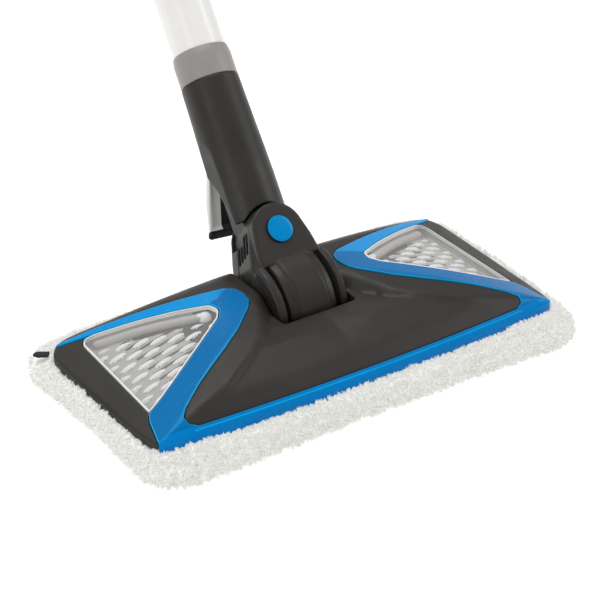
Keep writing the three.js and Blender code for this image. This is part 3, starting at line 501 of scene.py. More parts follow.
# ---------- plates that follow a height over an outline ----------
def plate(outline, top, bottom, edge=0.8, spacing=2.5, loops=(), seams=()):
    """A closed body between two heights, each a function of (x, y, distance in from the edge).

    The edge is rounded over by the radius `edge`, `loops` are more distances with a ring of points,
    and `seams` are open lines that the faces don't cross.
    """
    border = resampled(list(outline), spacing)

    def depth(x, y):
        return -outline_distance(x, y, border)

    insets = sorted({0.0, 0.12 * edge, 0.45 * edge, edge, *loops})
    rings = [border if inset == 0 else grown(border, -inset) for inset in insets]
    points, edges = [], []
    for line, closed in [*[(ring, 1) for ring in rings], *[(seam, 0) for seam in seams]]:
        start, count = len(points), len(line)
        points.extend(line)
        edges.extend((start + i, start + (i + 1) % count) for i in range(count - 1 + closed))
    low, high = np.min(points, 0), np.max(points, 0)
    row_gap = spacing * 0.866  # rows of a grid of even triangles
    xs, ys = np.meshgrid(np.arange(low[0], high[0], spacing), np.arange(low[1], high[1], row_gap))
    xs = xs + (np.arange(len(ys))[:, None] % 2) * spacing / 2
    inner = depth(xs, ys) > insets[-1] + 0.45 * spacing
    points.extend(zip(xs[inner], ys[inner]))
    flat, _, triangles, *_ = delaunay_2d_cdt([Vector(p) for p in points], edges, [], 0, 1e-4)
    flat = np.array([tuple(p) for p in flat])
    triangles = np.array([tuple(t) for t in triangles if len(t) == 3])
    middle = flat[triangles].mean(1)
    triangles = triangles[depth(middle[:, 0], middle[:, 1]) > 0]
    inward = np.maximum(0, depth(flat[:, 0], flat[:, 1]))
    a, b, c = (flat[triangles[:, i]] for i in range(3))
    turn = (b[:, 0] - a[:, 0]) * (c[:, 1] - a[:, 1]) - (b[:, 1] - a[:, 1]) * (c[:, 0] - a[:, 0])
    triangles[turn < 0] = triangles[turn < 0][:, ::-1]
    fall = edge - np.sqrt(np.maximum(0, edge**2 - np.maximum(0, edge - inward) ** 2))
    upper = np.column_stack([flat, top(flat[:, 0], flat[:, 1], inward) - fall])
    lower = np.column_stack([flat, bottom(flat[:, 0], flat[:, 1], inward)])
    count = len(flat)
    directed = np.concatenate([triangles[:, [0, 1]], triangles[:, [1, 2]], triangles[:, [2, 0]]])
    known = {tuple(pair) for pair in directed}
    faces = [tuple(t) for t in triangles] + [tuple(t[::-1] + count) for t in triangles]
    faces += [(a, b, b + count, a + count) for a, b in known if (b, a) not in known]
    return clean(np.concatenate([upper, lower]), faces)


def clean(points, faces):
    """Drops points that no face uses."""
    used = sorted({corner for face in faces for corner in face})
    place = {corner: i for i, corner in enumerate(used)}
    return points[used], [tuple(place[corner] for corner in face) for face in faces]


# ---------- solids from distance fields ----------
def soft_min(a, b, blend):
    reach = np.maximum(0, 1 - np.abs(a - b) / blend)
    return np.minimum(a, b) - reach**2 * blend / 4


def soft_max(a, b, blend):
    return -soft_min(-a, -b, blend)


def union(blend, *fields):
    result = fields[0]
    for field in fields[1:]:
        result = soft_min(result, field, blend)
    return result


def without(blend, field, *cuts):
    for tool in cuts:
        field = soft_max(field, -tool, blend)
    return field


def block(x, y, z, low, high, corner=1.0):
    """A box with round edges."""
    over = []
    for value, a, b in zip((x, y, z), low, high):
        over.append(np.abs(value - (a + b) / 2) - (b - a) / 2 + corner)
    outside = np.sqrt(sum(np.maximum(side, 0) ** 2 for side in over))
    inside = np.minimum(np.maximum(np.maximum(over[0], over[1]), over[2]), 0)
    return outside + inside - corner


def slab(flat, along, low, high, corner=1.0):
    """A flat shape's distance pushed from low to high, with round edges."""
    ends = np.abs(along - (low + high) / 2) - (high - low) / 2 + corner
    side = flat + corner
    outside = np.sqrt(np.maximum(side, 0) ** 2 + np.maximum(ends, 0) ** 2)
    return outside + np.minimum(np.maximum(side, ends), 0) - corner


def bar(u, v, along, radius, low, high, corner=1.0, centre=(0, 0)):
    return slab(np.hypot(u - centre[0], v - centre[1]) - radius, along, low, high, corner)


def surface(field, low, high, step):
    """The closed surface where field(x, y, z) is 0, inside being negative, as quads."""
    axes = [np.arange(a - 2 * step, b + 2.5 * step, step) for a, b in zip(low, high)]
    shape = tuple(len(axis) for axis in axes)
    value = np.broadcast_to(field(*np.meshgrid(*axes, indexing="ij", sparse=True)), shape).copy()
    value[value == 0] = 1e-9
    cells = tuple(length - 1 for length in shape)
    total = np.zeros((math.prod(cells), 3))
    count = np.zeros(math.prod(cells))
    quads = []
    for axis in range(3):
        first = np.take(value, range(shape[axis] - 1), axis)
        second = np.take(value, range(1, shape[axis]), axis)
        where = np.argwhere((first < 0) != (second < 0))
        a, b = first[tuple(where.T)], second[tuple(where.T)]
        crossing = where.astype(float)
        crossing[:, axis] += a / (a - b)
        u, v = ((1, 2), (2, 0), (0, 1))[axis]
        ring = []
        for du, dv in ((-1, -1), (0, -1), (0, 0), (-1, 0)):
            cell = where.copy()
            cell[:, u] += du
            cell[:, v] += dv
            flat = np.ravel_multi_index(tuple(cell.T), cells)
            np.add.at(total, flat, crossing)
            np.add.at(count, flat, 1)
            ring.append(flat)
        ring = np.stack(ring, 1)
        ring[a > 0] = ring[a > 0][:, ::-1]
        quads.append(ring)
    used = np.flatnonzero(count)
    place = np.zeros(len(count), int)
    place[used] = np.arange(len(used))
    points = total[used] / count[used][:, None] * step + np.array([axis[0] for axis in axes])
    return points, place[np.concatenate(quads)]


def add_surface(name, body, look, node, *shape):
    """A piece from a shape of field, lowest corner, highest corner and step."""
    return add_piece(name, body, look, *surface(*shape), node, angle=50)


# ---------- surface of the head ----------
def bow(x):
    return FRONT_BOW * (1 - (x / 145) ** 2)


def front_edge(x):
    return -HEAD_HALF_DEPTH - bow(x)


def past(x, y, start, end):
    """Distance past a line, positive on its left."""
    (x1, y1), (x2, y2) = start, end
    return ((x2 - x1) * (y - y1) - (y2 - y1) * (x - x1)) / math.hypot(x2 - x1, y2 - y1)


# The cover's faces: heights in millimetres, and how they fall or climb away from a line.
WING_TOP, WING_FALL, WING_CURVE, WING_TILT, WING_START = 48.5, 0.1, 0.001386, 0.17, 36
FRONT_FOOT, FRONT_SLOPE, FRONT_INSET = 24.5, 0.75, 3
LIP_FOOT, LIP_SLOPE, LIP_INSET = 20.5, 1.7, 0.8
END_FOOT, END_SLOPE, HEAD_HALF_LENGTH = 21.5, 2.1, 149
REAR_FOOT = 26
DECK_TOP, DECK_FALL, DECK_START, DECK_WALL = 40, 0.38, -32, 1.1
DECK_CORNER = (47, -28)
DECK_END = (85, -50)
POCKET_SIDE = (26, -2)


def cover_height(x, y):
    """Height of the head's outer surface, with its creases softened."""
    side = np.abs(x)
    along = np.maximum(0, side - WING_START)
    forward = np.maximum(0, 1.4 - 0.65 * (side - 40.6) - y)
    wing = WING_TOP - WING_FALL * along - WING_CURVE * along**2 - WING_TILT * forward
    front = FRONT_FOOT + FRONT_SLOPE * (y - front_edge(x) - FRONT_INSET)
    lip = LIP_FOOT + LIP_SLOPE * (y - front_edge(x) - LIP_INSET)
    rear = REAR_FOOT + (HEAD_HALF_DEPTH + 1 - y)
    end = END_FOOT + END_SLOPE * (HEAD_HALF_LENGTH - side)
    deck = DECK_TOP - DECK_FALL * np.maximum(0, DECK_START - 0.6 * bow(x) - y)
    wall = np.minimum(
        np.maximum(0, past(side, y, DECK_CORNER, DECK_END)),
        np.maximum(0, past(side, y, POCKET_SIDE, DECK_CORNER)),
    )
    height = soft_min(wing, deck + DECK_WALL * wall, 1.6)
    height = soft_min(height, soft_min(front, lip, 0.8), 0.8)
    height = soft_min(height, rear, 6)
    height = soft_min(height, end, 6)
    return np.maximum(RIM_Z + 1, height)


HEAD_RIGHT = [
    *[(x, front_edge(x)) for x in span(0, 139, 16)],
    (145.4, -63), (148.2, -48), (149, -20), (148.6, 35),
    *[(135 + 13 * math.cos(t), 52 + 14 * math.sin(t)) for t in span(0, math.pi / 2, 6)],
    (0, 66),
]
HEAD = both_sides(HEAD_RIGHT)
WINDOW = [
    (135.2, -35.5), (124.6, -31.4), (112.9, -25.6), (100, -18.6), (86, -10.8), (72.8, -2.8), (61, 4.6),
    (56.2, 11.4), (57.8, 19.2), (76, 29.6), (100, 41.6), (122, 52), (127.5, 53.2), (130.6, 49.6),
]
TRIM_RIGHT = [
    *[(x, front_edge(x)) for x in span(0, 139, 16)],
    (145.4, -63),
    (139.2, -42),
    *grown(WINDOW, 0.7)[:12],
    (129.6, 56.2), (142.4, 63.2), (140.6, 64.2), (100, 49), (42.4, 27.6), (37.4, 23.4), (35.2, 16),
    (36.4, 7.6), (40.6, 1.4), (57.3, -12.8), (73.7, -23.3), (88.7, -31.6), (103.2, -39.9),
    (119, -50.4), (124.2, -56), (123.4, -60.6),
    *[(x, front_edge(x) + 3) for x in span(118, 0, 14)],
]
TRIM = both_sides(TRIM_RIGHT)
BACK_SEAM = [(59, 19), (38, 27.5)]  # where the trim's back strip turns into its leg
BACK_LINE = [(56, 17.5), (122, 51.6)]  # along the inner side of the back strip
LIP_WIDTH, LIP_CREASE = 2.9, (1.1, 1.6)
# The band of painted highlight along the front strip: its middle and half width in from the front edge, and
# where it stops along the head.
CREASE_MIDDLE, CREASE_HALF, CREASE_END = 1.65, 0.22, 121
COVER_RIM, COVER_LOOPS = 2.2, (2.1, 2.3)  # width of the cover's edge that reaches down to the base


def build_head():
    """The cover in three parts, the blue trim with its painted light (lit strips and highlights), and both
    windows.
    """

    def skin(x, y, inward):
        return cover_height(x, y)

    def under(x, y, inward):
        return np.where(inward < COVER_RIM, RIM_Z, np.maximum(RIM_Z + 0.5, cover_height(x, y) - COVER_WALL))

    strip_back = [(x, front_edge(x) + 3 + GAP) for x in span(-118, 118, 28)]
    legs = [(123.4 - GAP, -60.3), (124.2 - 2 * GAP, -56), (119, -50.4 + GAP), (103.2, -39.9), (88.7, -31.6)]
    legs += [(73.7, -23.3), (57.3, -12.8), (40.6 - GAP, 1.4), (36.4 - GAP, 7.6), (35.2 - GAP, 16)]
    legs += [(37.2, 23.7), (42.2, 28), (100, 49.4), (140.4, 64.6), (135, 66)]
    front_y = PITCH_Y - math.sqrt(POCKET_RADIUS**2 - (DECK_TOP - PITCH_Z) ** 2) - POCKET_MARGIN
    pocket = [(POCKET_HALF_WIDTH, 66), (POCKET_HALF_WIDTH, front_y)]
    middle = strip_back + legs + pocket + mirrored(pocket) + mirrored(legs)
    cap = [(139.6, -42), (145.4 + GAP, -62.8), (148.2, -48), (149, -20), (148.6, 35)]
    cap += [(135 + 13 * math.cos(t), 52 + 14 * math.sin(t)) for t in span(0, math.pi / 2 * 0.8, 5)]
    cap += [(142.4 + GAP, 63.0), (129.9, 56.0), (127.8, 53.6), (131, 49.8), (135.6, -35.3)]
    outlines = rounded(middle, 3), rounded(cap, 2), rounded(mirrored(cap), 2)
    cover = joined([plate(outline, skin, under, 0.7, 2.4, loops=COVER_LOOPS) for outline in outlines])
    add_piece("cover_skin", "head", "charcoal", *cover, "top_cover")

    def proud(x, y, inward):
        return cover_height(x, y) + TRIM_PROUD

    def trim_under(x, y, inward):
        return np.where(y < front_edge(x) + 2.4, RIM_Z, cover_height(x, y) - 2.4)

    outline = rounded(TRIM, 1.6)
    lip_seam = [(x, front_edge(x) + LIP_WIDTH) for x in span(119, 141, 11)]
    seams = [BACK_SEAM, mirrored(BACK_SEAM), lip_seam, mirrored(lip_seam)]
    trim = plate(outline, proud, trim_under, 0.8, 2.4, loops=(0.5, *LIP_CREASE), seams=seams)
    blue = add_piece("trim_skin", "head", "blue", *trim, "trim_frame")

    # Where the trim gets painted light: highlights along its edges and crease, and lit copies of the blue on
    # its back strips and front strip.
    def on_edge(at, normal):
        inward = -outline_distance(at[0], at[1], outline)
        behind_lip = at[1] - front_edge(at[0]) > LIP_WIDTH + 0.3
        return (normal[2] > 0.1) & (inward > 0.02) & (inward < 0.5) & behind_lip

    def on_back(at, normal):
        side = np.abs(at[0])
        return (past(side, at[1], *BACK_SEAM) < 0) & (past(side, at[1], *BACK_LINE) > 0)

    def on_lip(at, normal):
        return at[1] - front_edge(at[0]) < LIP_WIDTH

    def on_crease(at, normal):
        off = np.abs(at[1] - front_edge(at[0]) - CREASE_MIDDLE)
        return (off < CREASE_HALF) & (np.abs(at[0]) < CREASE_END)

    # Painted light on the trim: lighter blue for the back strips and the front strip, and painted highlights
    # on the crease and along the edges.
    shades = ("blue_back", on_back), ("blue_front", on_lip), ("blue_edge", on_crease), ("blue_edge", on_edge)
    for look, chosen in shades:
        paint(blue, "head", look, chosen)
    build_window("left", rounded(mirrored(WINDOW), 2.5), -1)
    build_window("right", rounded(WINDOW, 2.5), 1)


RAIL = [(62.0, 17.6), (93.4, 34.2), (121.5, 47.6)]
RAIL_RADIUS, BALL_RADIUS = 3.0, 4.6
PLATE_DROP, BUMP_HEIGHT, RIM_HEIGHT = 6.4, 1.7, 3.6
BUMP_PITCH, BUMP_HALF, FIRST_BUMP = (17, 6.6), (6.3, 2.2), (60, -32)
LENS_RIM, LENS_DEPTH, LENS_PROUD, LENS_SUNK = 0.95, 2.2, 0.35, 0.4
PLATE_THICKNESS, RAIL_DROP, BALL_DROP = 1.8, 5.5, 6.9


def oval_bumps(x, y, side):
    """1 in the middle of a raised oval, 0 between the ovals, and the distance from the row's middle.

    Every other row is shifted by half a pitch.
    """
    row = np.round((y - FIRST_BUMP[1]) / BUMP_PITCH[1])
    shift = np.where(row % 2 == 0, 0, BUMP_PITCH[0] / 2)
    across = (side * x - FIRST_BUMP[0] - shift) / BUMP_PITCH[0]
    near = (across - np.round(across)) * BUMP_PITCH[0]
    off = y - FIRST_BUMP[1] - row * BUMP_PITCH[1]
    return np.clip(1 - (near / BUMP_HALF[0]) ** 2 - (off / BUMP_HALF[1]) ** 2, 0, 1), off


def rail_distance(x, y, side):
    """Distance in front of the rail's line, in plan."""
    return -past(side * x, y, RAIL[0], RAIL[-1])


def build_window(word, outline, side):
    """The clear lens with a painted highlight round its rim, and the plate of oval bumps, with painted
    shade, and the rail below it.
    """

    def lens_top(x, y, inward):
        return cover_height(x, y) + np.where(inward < 1.0, LENS_PROUD, -LENS_SUNK)

    def lens_bottom(x, y, inward):
        return cover_height(x, y) - LENS_DEPTH

    lens = plate(outline, lens_top, lens_bottom, 0.35, 3.0, loops=(0.9, 1.1))
    glass = add_piece(f"lens_{word}", "head", "clear", *lens, f"window_{word}")

    def on_rim(at, normal):
        return outline_distance(at[0], at[1], outline) > -LENS_RIM

    # Painted highlight: the rim of the lens in pearl white, for the gleam on its rounded edge.
    paint(glass, "head", "pearl", on_rim)

    def plate_top(x, y, inward):
        shown = np.clip((inward - 2.6) / 1.5, 0, 1) * np.clip((rail_distance(x, y, side) - 5) / 2, 0, 1)
        bumps, _ = oval_bumps(x, y, side)
        low = cover_height(x, y) - PLATE_DROP
        return low + BUMP_HEIGHT * np.sqrt(bumps) * shown + RIM_HEIGHT * np.clip(1 - inward / 1.6, 0, 1)

    def plate_bottom(x, y, inward):
        return cover_height(x, y) - PLATE_DROP - PLATE_THICKNESS

    deck = plate(outline, plate_top, plate_bottom, 0.2, 0.8, loops=(1.6, 2.6))
    rail = hose([(side * x, y, z - RAIL_DROP) for x, y, z in lifted(RAIL)], RAIL_RADIUS)
    half_circle = [(BALL_RADIUS * math.sin(t), -BALL_RADIUS * math.cos(t)) for t in span(0, math.pi, 16)]
    ball, ball_faces = lathe(half_circle, 32)
    ball_place = np.array([side * RAIL[0][0], RAIL[0][1], lifted(RAIL)[0][2] - BALL_DROP])
    whole = joined([deck, rail, (np.array(ball) + ball_place, ball_faces)])
    made = add_piece(f"diffuser_{word}_plate", "head", "silver", *whole, f"diffuser_{word}")
    plate_faces = np.arange(len(made.data.polygons)) < len(deck[1])

    def shown(at):
        return plate_faces, -outline_distance(at[0], at[1], outline), rail_distance(at[0], at[1], side)

    def shaded(at, normal):
        on_plate, inward, ahead = shown(at)
        bumps, off = oval_bumps(at[0], at[1], side)
        between = (bumps < 0.1) & (off > 1.2) & (ahead > 3) & (at[0] * side < 112) & (inward > 3.4)
        below_rail = (ahead > 2) & (ahead < 5.4) & (at[0] * side < 104)
        by_ball = np.hypot(at[0] * side - 66, at[1] - 9) < 15
        return on_plate & (between | below_rail | by_ball)

    def bright(at, normal):
        on_plate, inward, ahead = shown(at)
        bumps, _ = oval_bumps(at[0], at[1], side)
        oval = (bumps > 0.16) & (inward > 3.4) & (ahead > 6.4)
        wall = (inward > 1.6) & (inward < 2.6) & (ahead > 6)
        from_ball = np.hypot(at[0] - ball_place[0], at[1] - ball_place[1])
        on_ball = ~plate_faces & (from_ball < BALL_RADIUS + 0.1)
        return on_plate & (oval | wall) | on_ball

    # Painted shade: dark grey beside the ovals, in a band below the rail and round the ball.
    paint(made, "head", "slate", shaded)
    paint(made, "head", "pearl", bright)


def lifted(points):
    return [(x, y, float(cover_height(np.array(x), np.array(y)))) for x, y in points]


DOME_TURNS = (0.4, 0.8, 1.15)  # rings of a domed end, in radians


def hose(route, radius, steps=24, sides=16):
    """A round bar with domed ends along a smooth curve through points."""
    knots = np.array(route, float)
    knots = np.vstack([2 * knots[0] - knots[1], knots, 2 * knots[-1] - knots[-2]])
    path = []
    for i in range(len(knots) - 3):
        turns = np.linspace(0, 1, steps, endpoint=i == len(knots) - 4)
        path += [spline(knots[i : i + 4], t) for t in turns]
    tangent = unit_rows(np.gradient(np.array(path), axis=0))
    guide = np.array((0.0, 0.0, 1.0)) if abs(tangent[0][2]) < 0.9 else np.array((1.0, 0.0, 0.0))
    rings = []
    for place, direction in zip(path, tangent):
        u = np.cross(direction, guide)
        u /= np.linalg.norm(u)
        rings.append((place, u, np.cross(direction, u), radius))

    def dome(ring, outward):
        place, u, v, _ = ring
        return [(place + outward * radius * math.sin(t), u, v, radius * math.cos(t)) for t in DOME_TURNS]

    rings = [*reversed(dome(rings[0], -tangent[0])), *rings, *dome(rings[-1], tangent[-1])]
    points = []
    for place, u, v, size in rings:
        for i in range(sides):
            turn = 2 * math.pi * i / sides
            points.append(place + size * (math.cos(turn) * u + math.sin(turn) * v))
    faces = []
    for start in range(0, (len(rings) - 1) * sides, sides):
        for i in range(sides):
            j = (i + 1) % sides
            faces.append((start + i, start + j, start + sides + j, start + sides + i))
    faces.append(tuple(reversed(range(sides))))
    faces.append(tuple(range((len(rings) - 1) * sides, len(rings) * sides)))
    return points, faces


# ---------- pad ----------
PAD_FLOOR = 5.8  # top of the cloth under the head
PAD_VOXEL, PAD_SHRINK = 4, 1  # the cloth starts on coarse voxels, a little inside the tray
SWELL_LIMIT, SWELL_PRESSURE, SWELL_FRAMES = 2.2, 4.0, 20
LUMP_HEIGHT, LUMP_SINK = 0.9, 0.3
PILE_LOWEST = 0.35
PILE_SEED = 11
STRANDS = 64000
TUFTS = 7600
TUFT_LENGTH, STRAND_LENGTH = (2.2, 3.8), (1.8, 3.6)
ROOT_RADIUS, BEND_RADIUS = 0.24, 0.20
FREE_SHARE, TUFT_SHARE = 0.38, 0.62  # how much a strand's own tip counts, and its tuft's
STRAND_POINTS = 7  # two triangles and a tip
PULL_TAB, TAB_CLEARANCE = (-149.5, 68), 7
SOLE_SHARE, HIDDEN_SHARE = 0.12, 0.06  # density of the pile on the floor side, round and under the head


def coordinates(mesh):
    return read_rows(mesh.vertices, "co")


def set_coordinates(mesh, points):
    mesh.vertices.foreach_set("co", np.asarray(points, float).ravel())
    mesh.update()


def vertex_normals(mesh):
    return read_rows(mesh.vertex_normals, "vector")


def apply_modifiers(piece):
    graph = bpy.context.evaluated_depsgraph_get()
    baked = bpy.data.meshes.new_from_object(piece.evaluated_get(graph))
    piece.modifiers.clear()
    piece.data = baked


def swell(piece):
    """Blows the cloth up from inside and keeps each point within a limit of where it started."""
    start = coordinates(piece.data)
    cloth = piece.modifiers.new("cloth", "CLOTH")
    cloth.settings.quality = 4
    cloth.settings.use_pressure = True
    cloth.settings.uniform_pressure_force = SWELL_PRESSURE
    cloth.settings.effector_weights.gravity = 0
    cloth.point_cache.frame_start = 1
    cloth.point_cache.frame_end = SWELL_FRAMES
    scene = bpy.context.scene
    for step in range(1, SWELL_FRAMES + 1):
        scene.frame_set(step)
    graph = bpy.context.evaluated_depsgraph_get()
    moved = coordinates(piece.evaluated_get(graph).data)
    piece.modifiers.clear()
    scene.frame_set(1)
    offset = moved - start
    length = np.maximum(np.linalg.norm(offset, axis=1), 1e-9)[:, None]
    set_coordinates(piece.data, start + offset * np.minimum(1, SWELL_LIMIT * MM / length))


def keep_pad_clear(points):
    """Pad points in millimetres, kept off the floor and out of the head."""
    under_head = outline_distance(points[:, 0], points[:, 1], HEAD) < 0.6
    points[:, 2] = np.maximum(points[:, 2], 0.5)
    points[under_head, 2] = np.minimum(points[under_head, 2], PAD_FLOOR)
    return points


def build_pad():
    """The soft tray: swollen by cloth simulation, then lumpy, then covered in tufted pile."""
    source = frame["nodes"]["pad"]
    mesh = source.data.copy()
    mesh.transform(source.matrix_world)
    mesh.materials.clear()
    mesh.materials.append(LOOKS["pile"])
    pad = add_object("pad_cloth", mesh)
    remesh = pad.modifiers.new("remesh", "REMESH")
    remesh.mode = "VOXEL"
    remesh.voxel_size = PAD_VOXEL * MM
    apply_modifiers(pad)
    set_coordinates(pad.data, coordinates(pad.data) - PAD_SHRINK * MM * vertex_normals(pad.data))
    swell(pad)
    rounder = pad.modifiers.new("rounder", "SUBSURF")
    rounder.levels = rounder.render_levels = 1
    apply_modifiers(pad)
    points = coordinates(pad.data) / MM
    lumps = np.array([fractal(Vector(point) * 0.22, 1.0, 2.0, 3) for point in points])
    points += vertex_normals(pad.data) * (LUMP_HEIGHT * lumps - LUMP_SINK)[:, None]
    set_coordinates(pad.data, keep_pad_clear(points) * MM)
    pad.data.shade_smooth()
    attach(pad, "head")
    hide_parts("pad")
    add_pile(pad)


def scattered(mesh, count, random):
    """Points and normals spread evenly over the pile side of a mesh, in millimetres."""
    mesh.calc_loop_triangles()
    corners = read_rows(mesh.loop_triangles, "vertices", int)
    points, normals = coordinates(mesh) / MM, vertex_normals(mesh)
    a, b, c = (points[corners[:, i]] for i in range(3))
    area = np.linalg.norm(np.cross(b - a, c - a), axis=1)
    middle = (a + b + c) / 3
    facing = normals[corners].mean(1)
    outside = outline_distance(middle[:, 0], middle[:, 1], HEAD) > 0.4
    by_tab = np.hypot(middle[:, 0] - PULL_TAB[0], middle[:, 1] - PULL_TAB[1]) < TAB_CLEARANCE
    weight = area * np.where(facing[:, 2] < -0.6, SOLE_SHARE, 1.0) * np.where(outside & ~by_tab, 1.0, 0.0)
    weight += area * np.where(~outside & (facing[:, 2] < -0.6), HIDDEN_SHARE, 0.0)
    picked = random.choice(len(corners), count, p=weight / weight.sum())
    u, v = random.random(count), random.random(count)
    u, v = np.where(u + v > 1, 1 - u, u)[:, None], np.where(u + v > 1, 1 - v, v)[:, None]
    root = a[picked] + u * (b - a)[picked] + v * (c - a)[picked]
    return root, unit_rows(normals[corners[picked]].mean(1))


def add_pile(pad):
    """Thin tapered strands with a bend, drawn together into tufts."""
    random = np.random.default_rng(PILE_SEED)
    tuft_root, tuft_normal = scattered(pad.data, TUFTS, random)
    tuft_lean = unit_rows(tuft_normal + 0.55 * random.normal(size=(TUFTS, 3)))
    tuft_tip = tuft_root + tuft_lean * random.uniform(*TUFT_LENGTH, TUFTS)[:, None]
    tree = KDTree(TUFTS)
    for i, place in enumerate(tuft_root):
        tree.insert(place, i)
    tree.balance()
    root, normal = scattered(pad.data, STRANDS, random)
    near = np.array([tree.find(place)[1] for place in root])
    tall = random.uniform(*STRAND_LENGTH, STRANDS)[:, None]
    free_tip = root + unit_rows(normal + 0.5 * random.normal(size=(STRANDS, 3))) * tall
    tip = FREE_SHARE * free_tip + TUFT_SHARE * tuft_tip[near] + 0.35 * random.normal(size=(STRANDS, 3))
    bend = (root + tip) / 2 + 0.45 * normal + 0.42 * random.normal(size=(STRANDS, 3))
    root -= 0.3 * normal
    tip[:, 2] = np.maximum(tip[:, 2], PILE_LOWEST)
    bend[:, 2] = np.maximum(bend[:, 2], 0.45)
    root[:, 2] = np.maximum(root[:, 2], 0.5)
    along = unit_rows(tip - root)
    side = unit_rows(np.cross(along, random.normal(size=(STRANDS, 3))))
    other = np.cross(along, side)
    rings = []
    for centre, radius in ((root, ROOT_RADIUS), (bend, BEND_RADIUS)):
        for k in range(3):
            turn = 2 * math.pi * k / 3
            rings.append(centre + radius * (math.cos(turn) * side + math.sin(turn) * other))
    points = np.stack([*rings, tip], 1).reshape(-1, 3)
    first = STRAND_POINTS * np.arange(STRANDS)[:, None]
    faces = []
    for k in range(3):
        j = (k + 1) % 3
        faces += [first + np.array([k, j, 3 + j]), first + np.array([k, 3 + j, 3 + k])]
        faces.append(first + np.array([3 + k, 3 + j, 6]))
    faces.append(first + np.array([2, 1, 0]))
    corners = np.concatenate(faces).astype(np.int32)
    mesh = bpy.data.meshes.new("pad_pile")
    mesh.vertices.add(len(points))
    mesh.vertices.foreach_set("co", (points * MM).ravel())
    mesh.loops.add(corners.size)
    mesh.loops.foreach_set("vertex_index", corners.ravel())
    mesh.polygons.add(len(corners))
    mesh.polygons.foreach_set("loop_start", 3 * np.arange(len(corners), dtype=np.int32))
    mesh.update(calc_edges=True)
    mesh.shade_smooth()
    mesh.materials.append(LOOKS["fibre"])
    pile = add_object("pad_pile", mesh)
    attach(pile, "head")


# ---------- knuckle ----------
KNUCKLE_HALF_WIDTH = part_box("knuckle_front")[1].x / MM
ROLL_HEIGHT = 40
DOME_RADIUS = 17.8
CHEEK_FRONT, CHEEK_REAR = 26, 13
SKIRT_RADIUS = 34.0
SKIRT_ACROSS = [0, 10.2, 12.4, 16.6, 17.3, 19.4, 20.1, 24, KNUCKLE_HALF_WIDTH]
SKIRT_RADII = [SKIRT_RADIUS, SKIRT_RADIUS, 32.4, 31.4, 26.5, 26.5, 32.2, 32.2, 31]
TONGUE_HALF = 8.5
TONGUE_RADIUS = 15.6
PIN_RADIUS, AXLE_RADIUS, CAP_DISC_RADIUS = 4, 4, 8.5
PIVOT_HOLE = 1.8  # radius of the holes for the small pins and the screws
VENT_COUNT, VENT_PITCH, VENT_HALF_WIDTH, VENT_DEPTH = 4, 4.2, 1.45, 4.2
VENT_Y, VENT_Z, VENT_HALF_HEIGHT = -14.8, 38.6, 6.2  # the first vent; the others are lower and longer
BODY_FACE, HOSE_ROOM, VENT_DROP, VENT_GROWTH = -22.4, 4.4, 0.5, 0.7


def arc(radius, start, end, steps, centre=(0, 0)):
    """Points round a centre, with the angles in degrees."""
    turns = [math.radians(turn) for turn in span(start, end, steps)]
    return [(centre[0] + radius * math.cos(t), centre[1] + radius * math.sin(t)) for t in turns]


def domed(foot, *flank):
    """Front view of the knuckle: a dome round the roll pin over flanks given from the foot upwards."""
    right = [(flank[0][0], foot), *flank]
    dome = arc(DOME_RADIUS, 15, 165, 24, (0, ROLL_HEIGHT))
    return right + dome + [(-x, z) for x, z in reversed(right)]


BODY_FRONT = domed(2, (KNUCKLE_HALF_WIDTH, 17), (24.7, 24), (21.4, 34))
BOSS_FRONT = domed(19.6, (21.6, 22), (20.2, 32))
SKIRT_SIDE = [(6, 0), *arc(SKIRT_RADIUS, 139, 213, 20)]


def vent_field(y, z):
    """Four upright slots in the flanks."""
    slots = [
        np.maximum(
            np.abs(z - VENT_Z + VENT_DROP * i) - VENT_HALF_HEIGHT - VENT_GROWTH * i,
            np.abs(y - VENT_Y - VENT_PITCH * i) - VENT_HALF_WIDTH,
        )
        for i in range(VENT_COUNT)
    ]
    return np.minimum.reduce(slots)


def knuckle_field(x, y, z):
    """The whole knuckle: a domed body with a front boss, a ribbed round skirt, slot, bores and vents."""
    side = np.abs(x)
    body = slab(outline_distance(x, z, BODY_FRONT), y, BODY_FACE, CHEEK_REAR, 5)
    boss = slab(outline_distance(x, z, BOSS_FRONT), y, -CHEEK_FRONT, 0, 1.6)
    round_front = np.hypot(y, z) - np.interp(side, SKIRT_ACROSS, SKIRT_RADII)
    skirt = np.maximum(slab(outline_distance(y, z, SKIRT_SIDE), x, -25.5, 25.5, 1.5), round_front)
    hub = bar(y, z, x, 15.5, -KNUCKLE_HALF_WIDTH, KNUCKLE_HALF_WIDTH, 1)
    whole = union(1.6, union(3, body, hub), skirt)
    whole = soft_min(whole, boss, 1.0)
    half = TONGUE_HALF + GAP
    slot = np.minimum(
        bar(x, z, y, TONGUE_RADIUS + 2 * GAP, -half, half, 0.4, (0, ROLL_HEIGHT)),
        block(x, y, z, (-30, -half, ROLL_HEIGHT), (30, half, 90), 0.4),
    )
    pin = bar(x, z, y, PIN_RADIUS + GAP, -40, 40, 0.1, (0, ROLL_HEIGHT))
    axle = bar(y, z, x, AXLE_RADIUS + GAP, -40, 40, 0.1)
    hose_room = bar(x, y, z, HOSE_ROOM, 4, ROLL_HEIGHT - 10, 0.1)
    whole = without(0.5, whole, slot, pin, axle, hose_room)
    vents = np.maximum(vent_field(y, z), -outline_distance(x, z, BODY_FRONT) - VENT_DEPTH)
    return soft_max(whole, -vents, 0.4)


def in_vents(at, normal):
    """The walls and floors of the vent slots, which get painted shade in black."""
    return (vent_field(at[1], at[2]) < 0.35) & (outline_distance(at[0], at[2], BODY_FRONT) < -0.7)


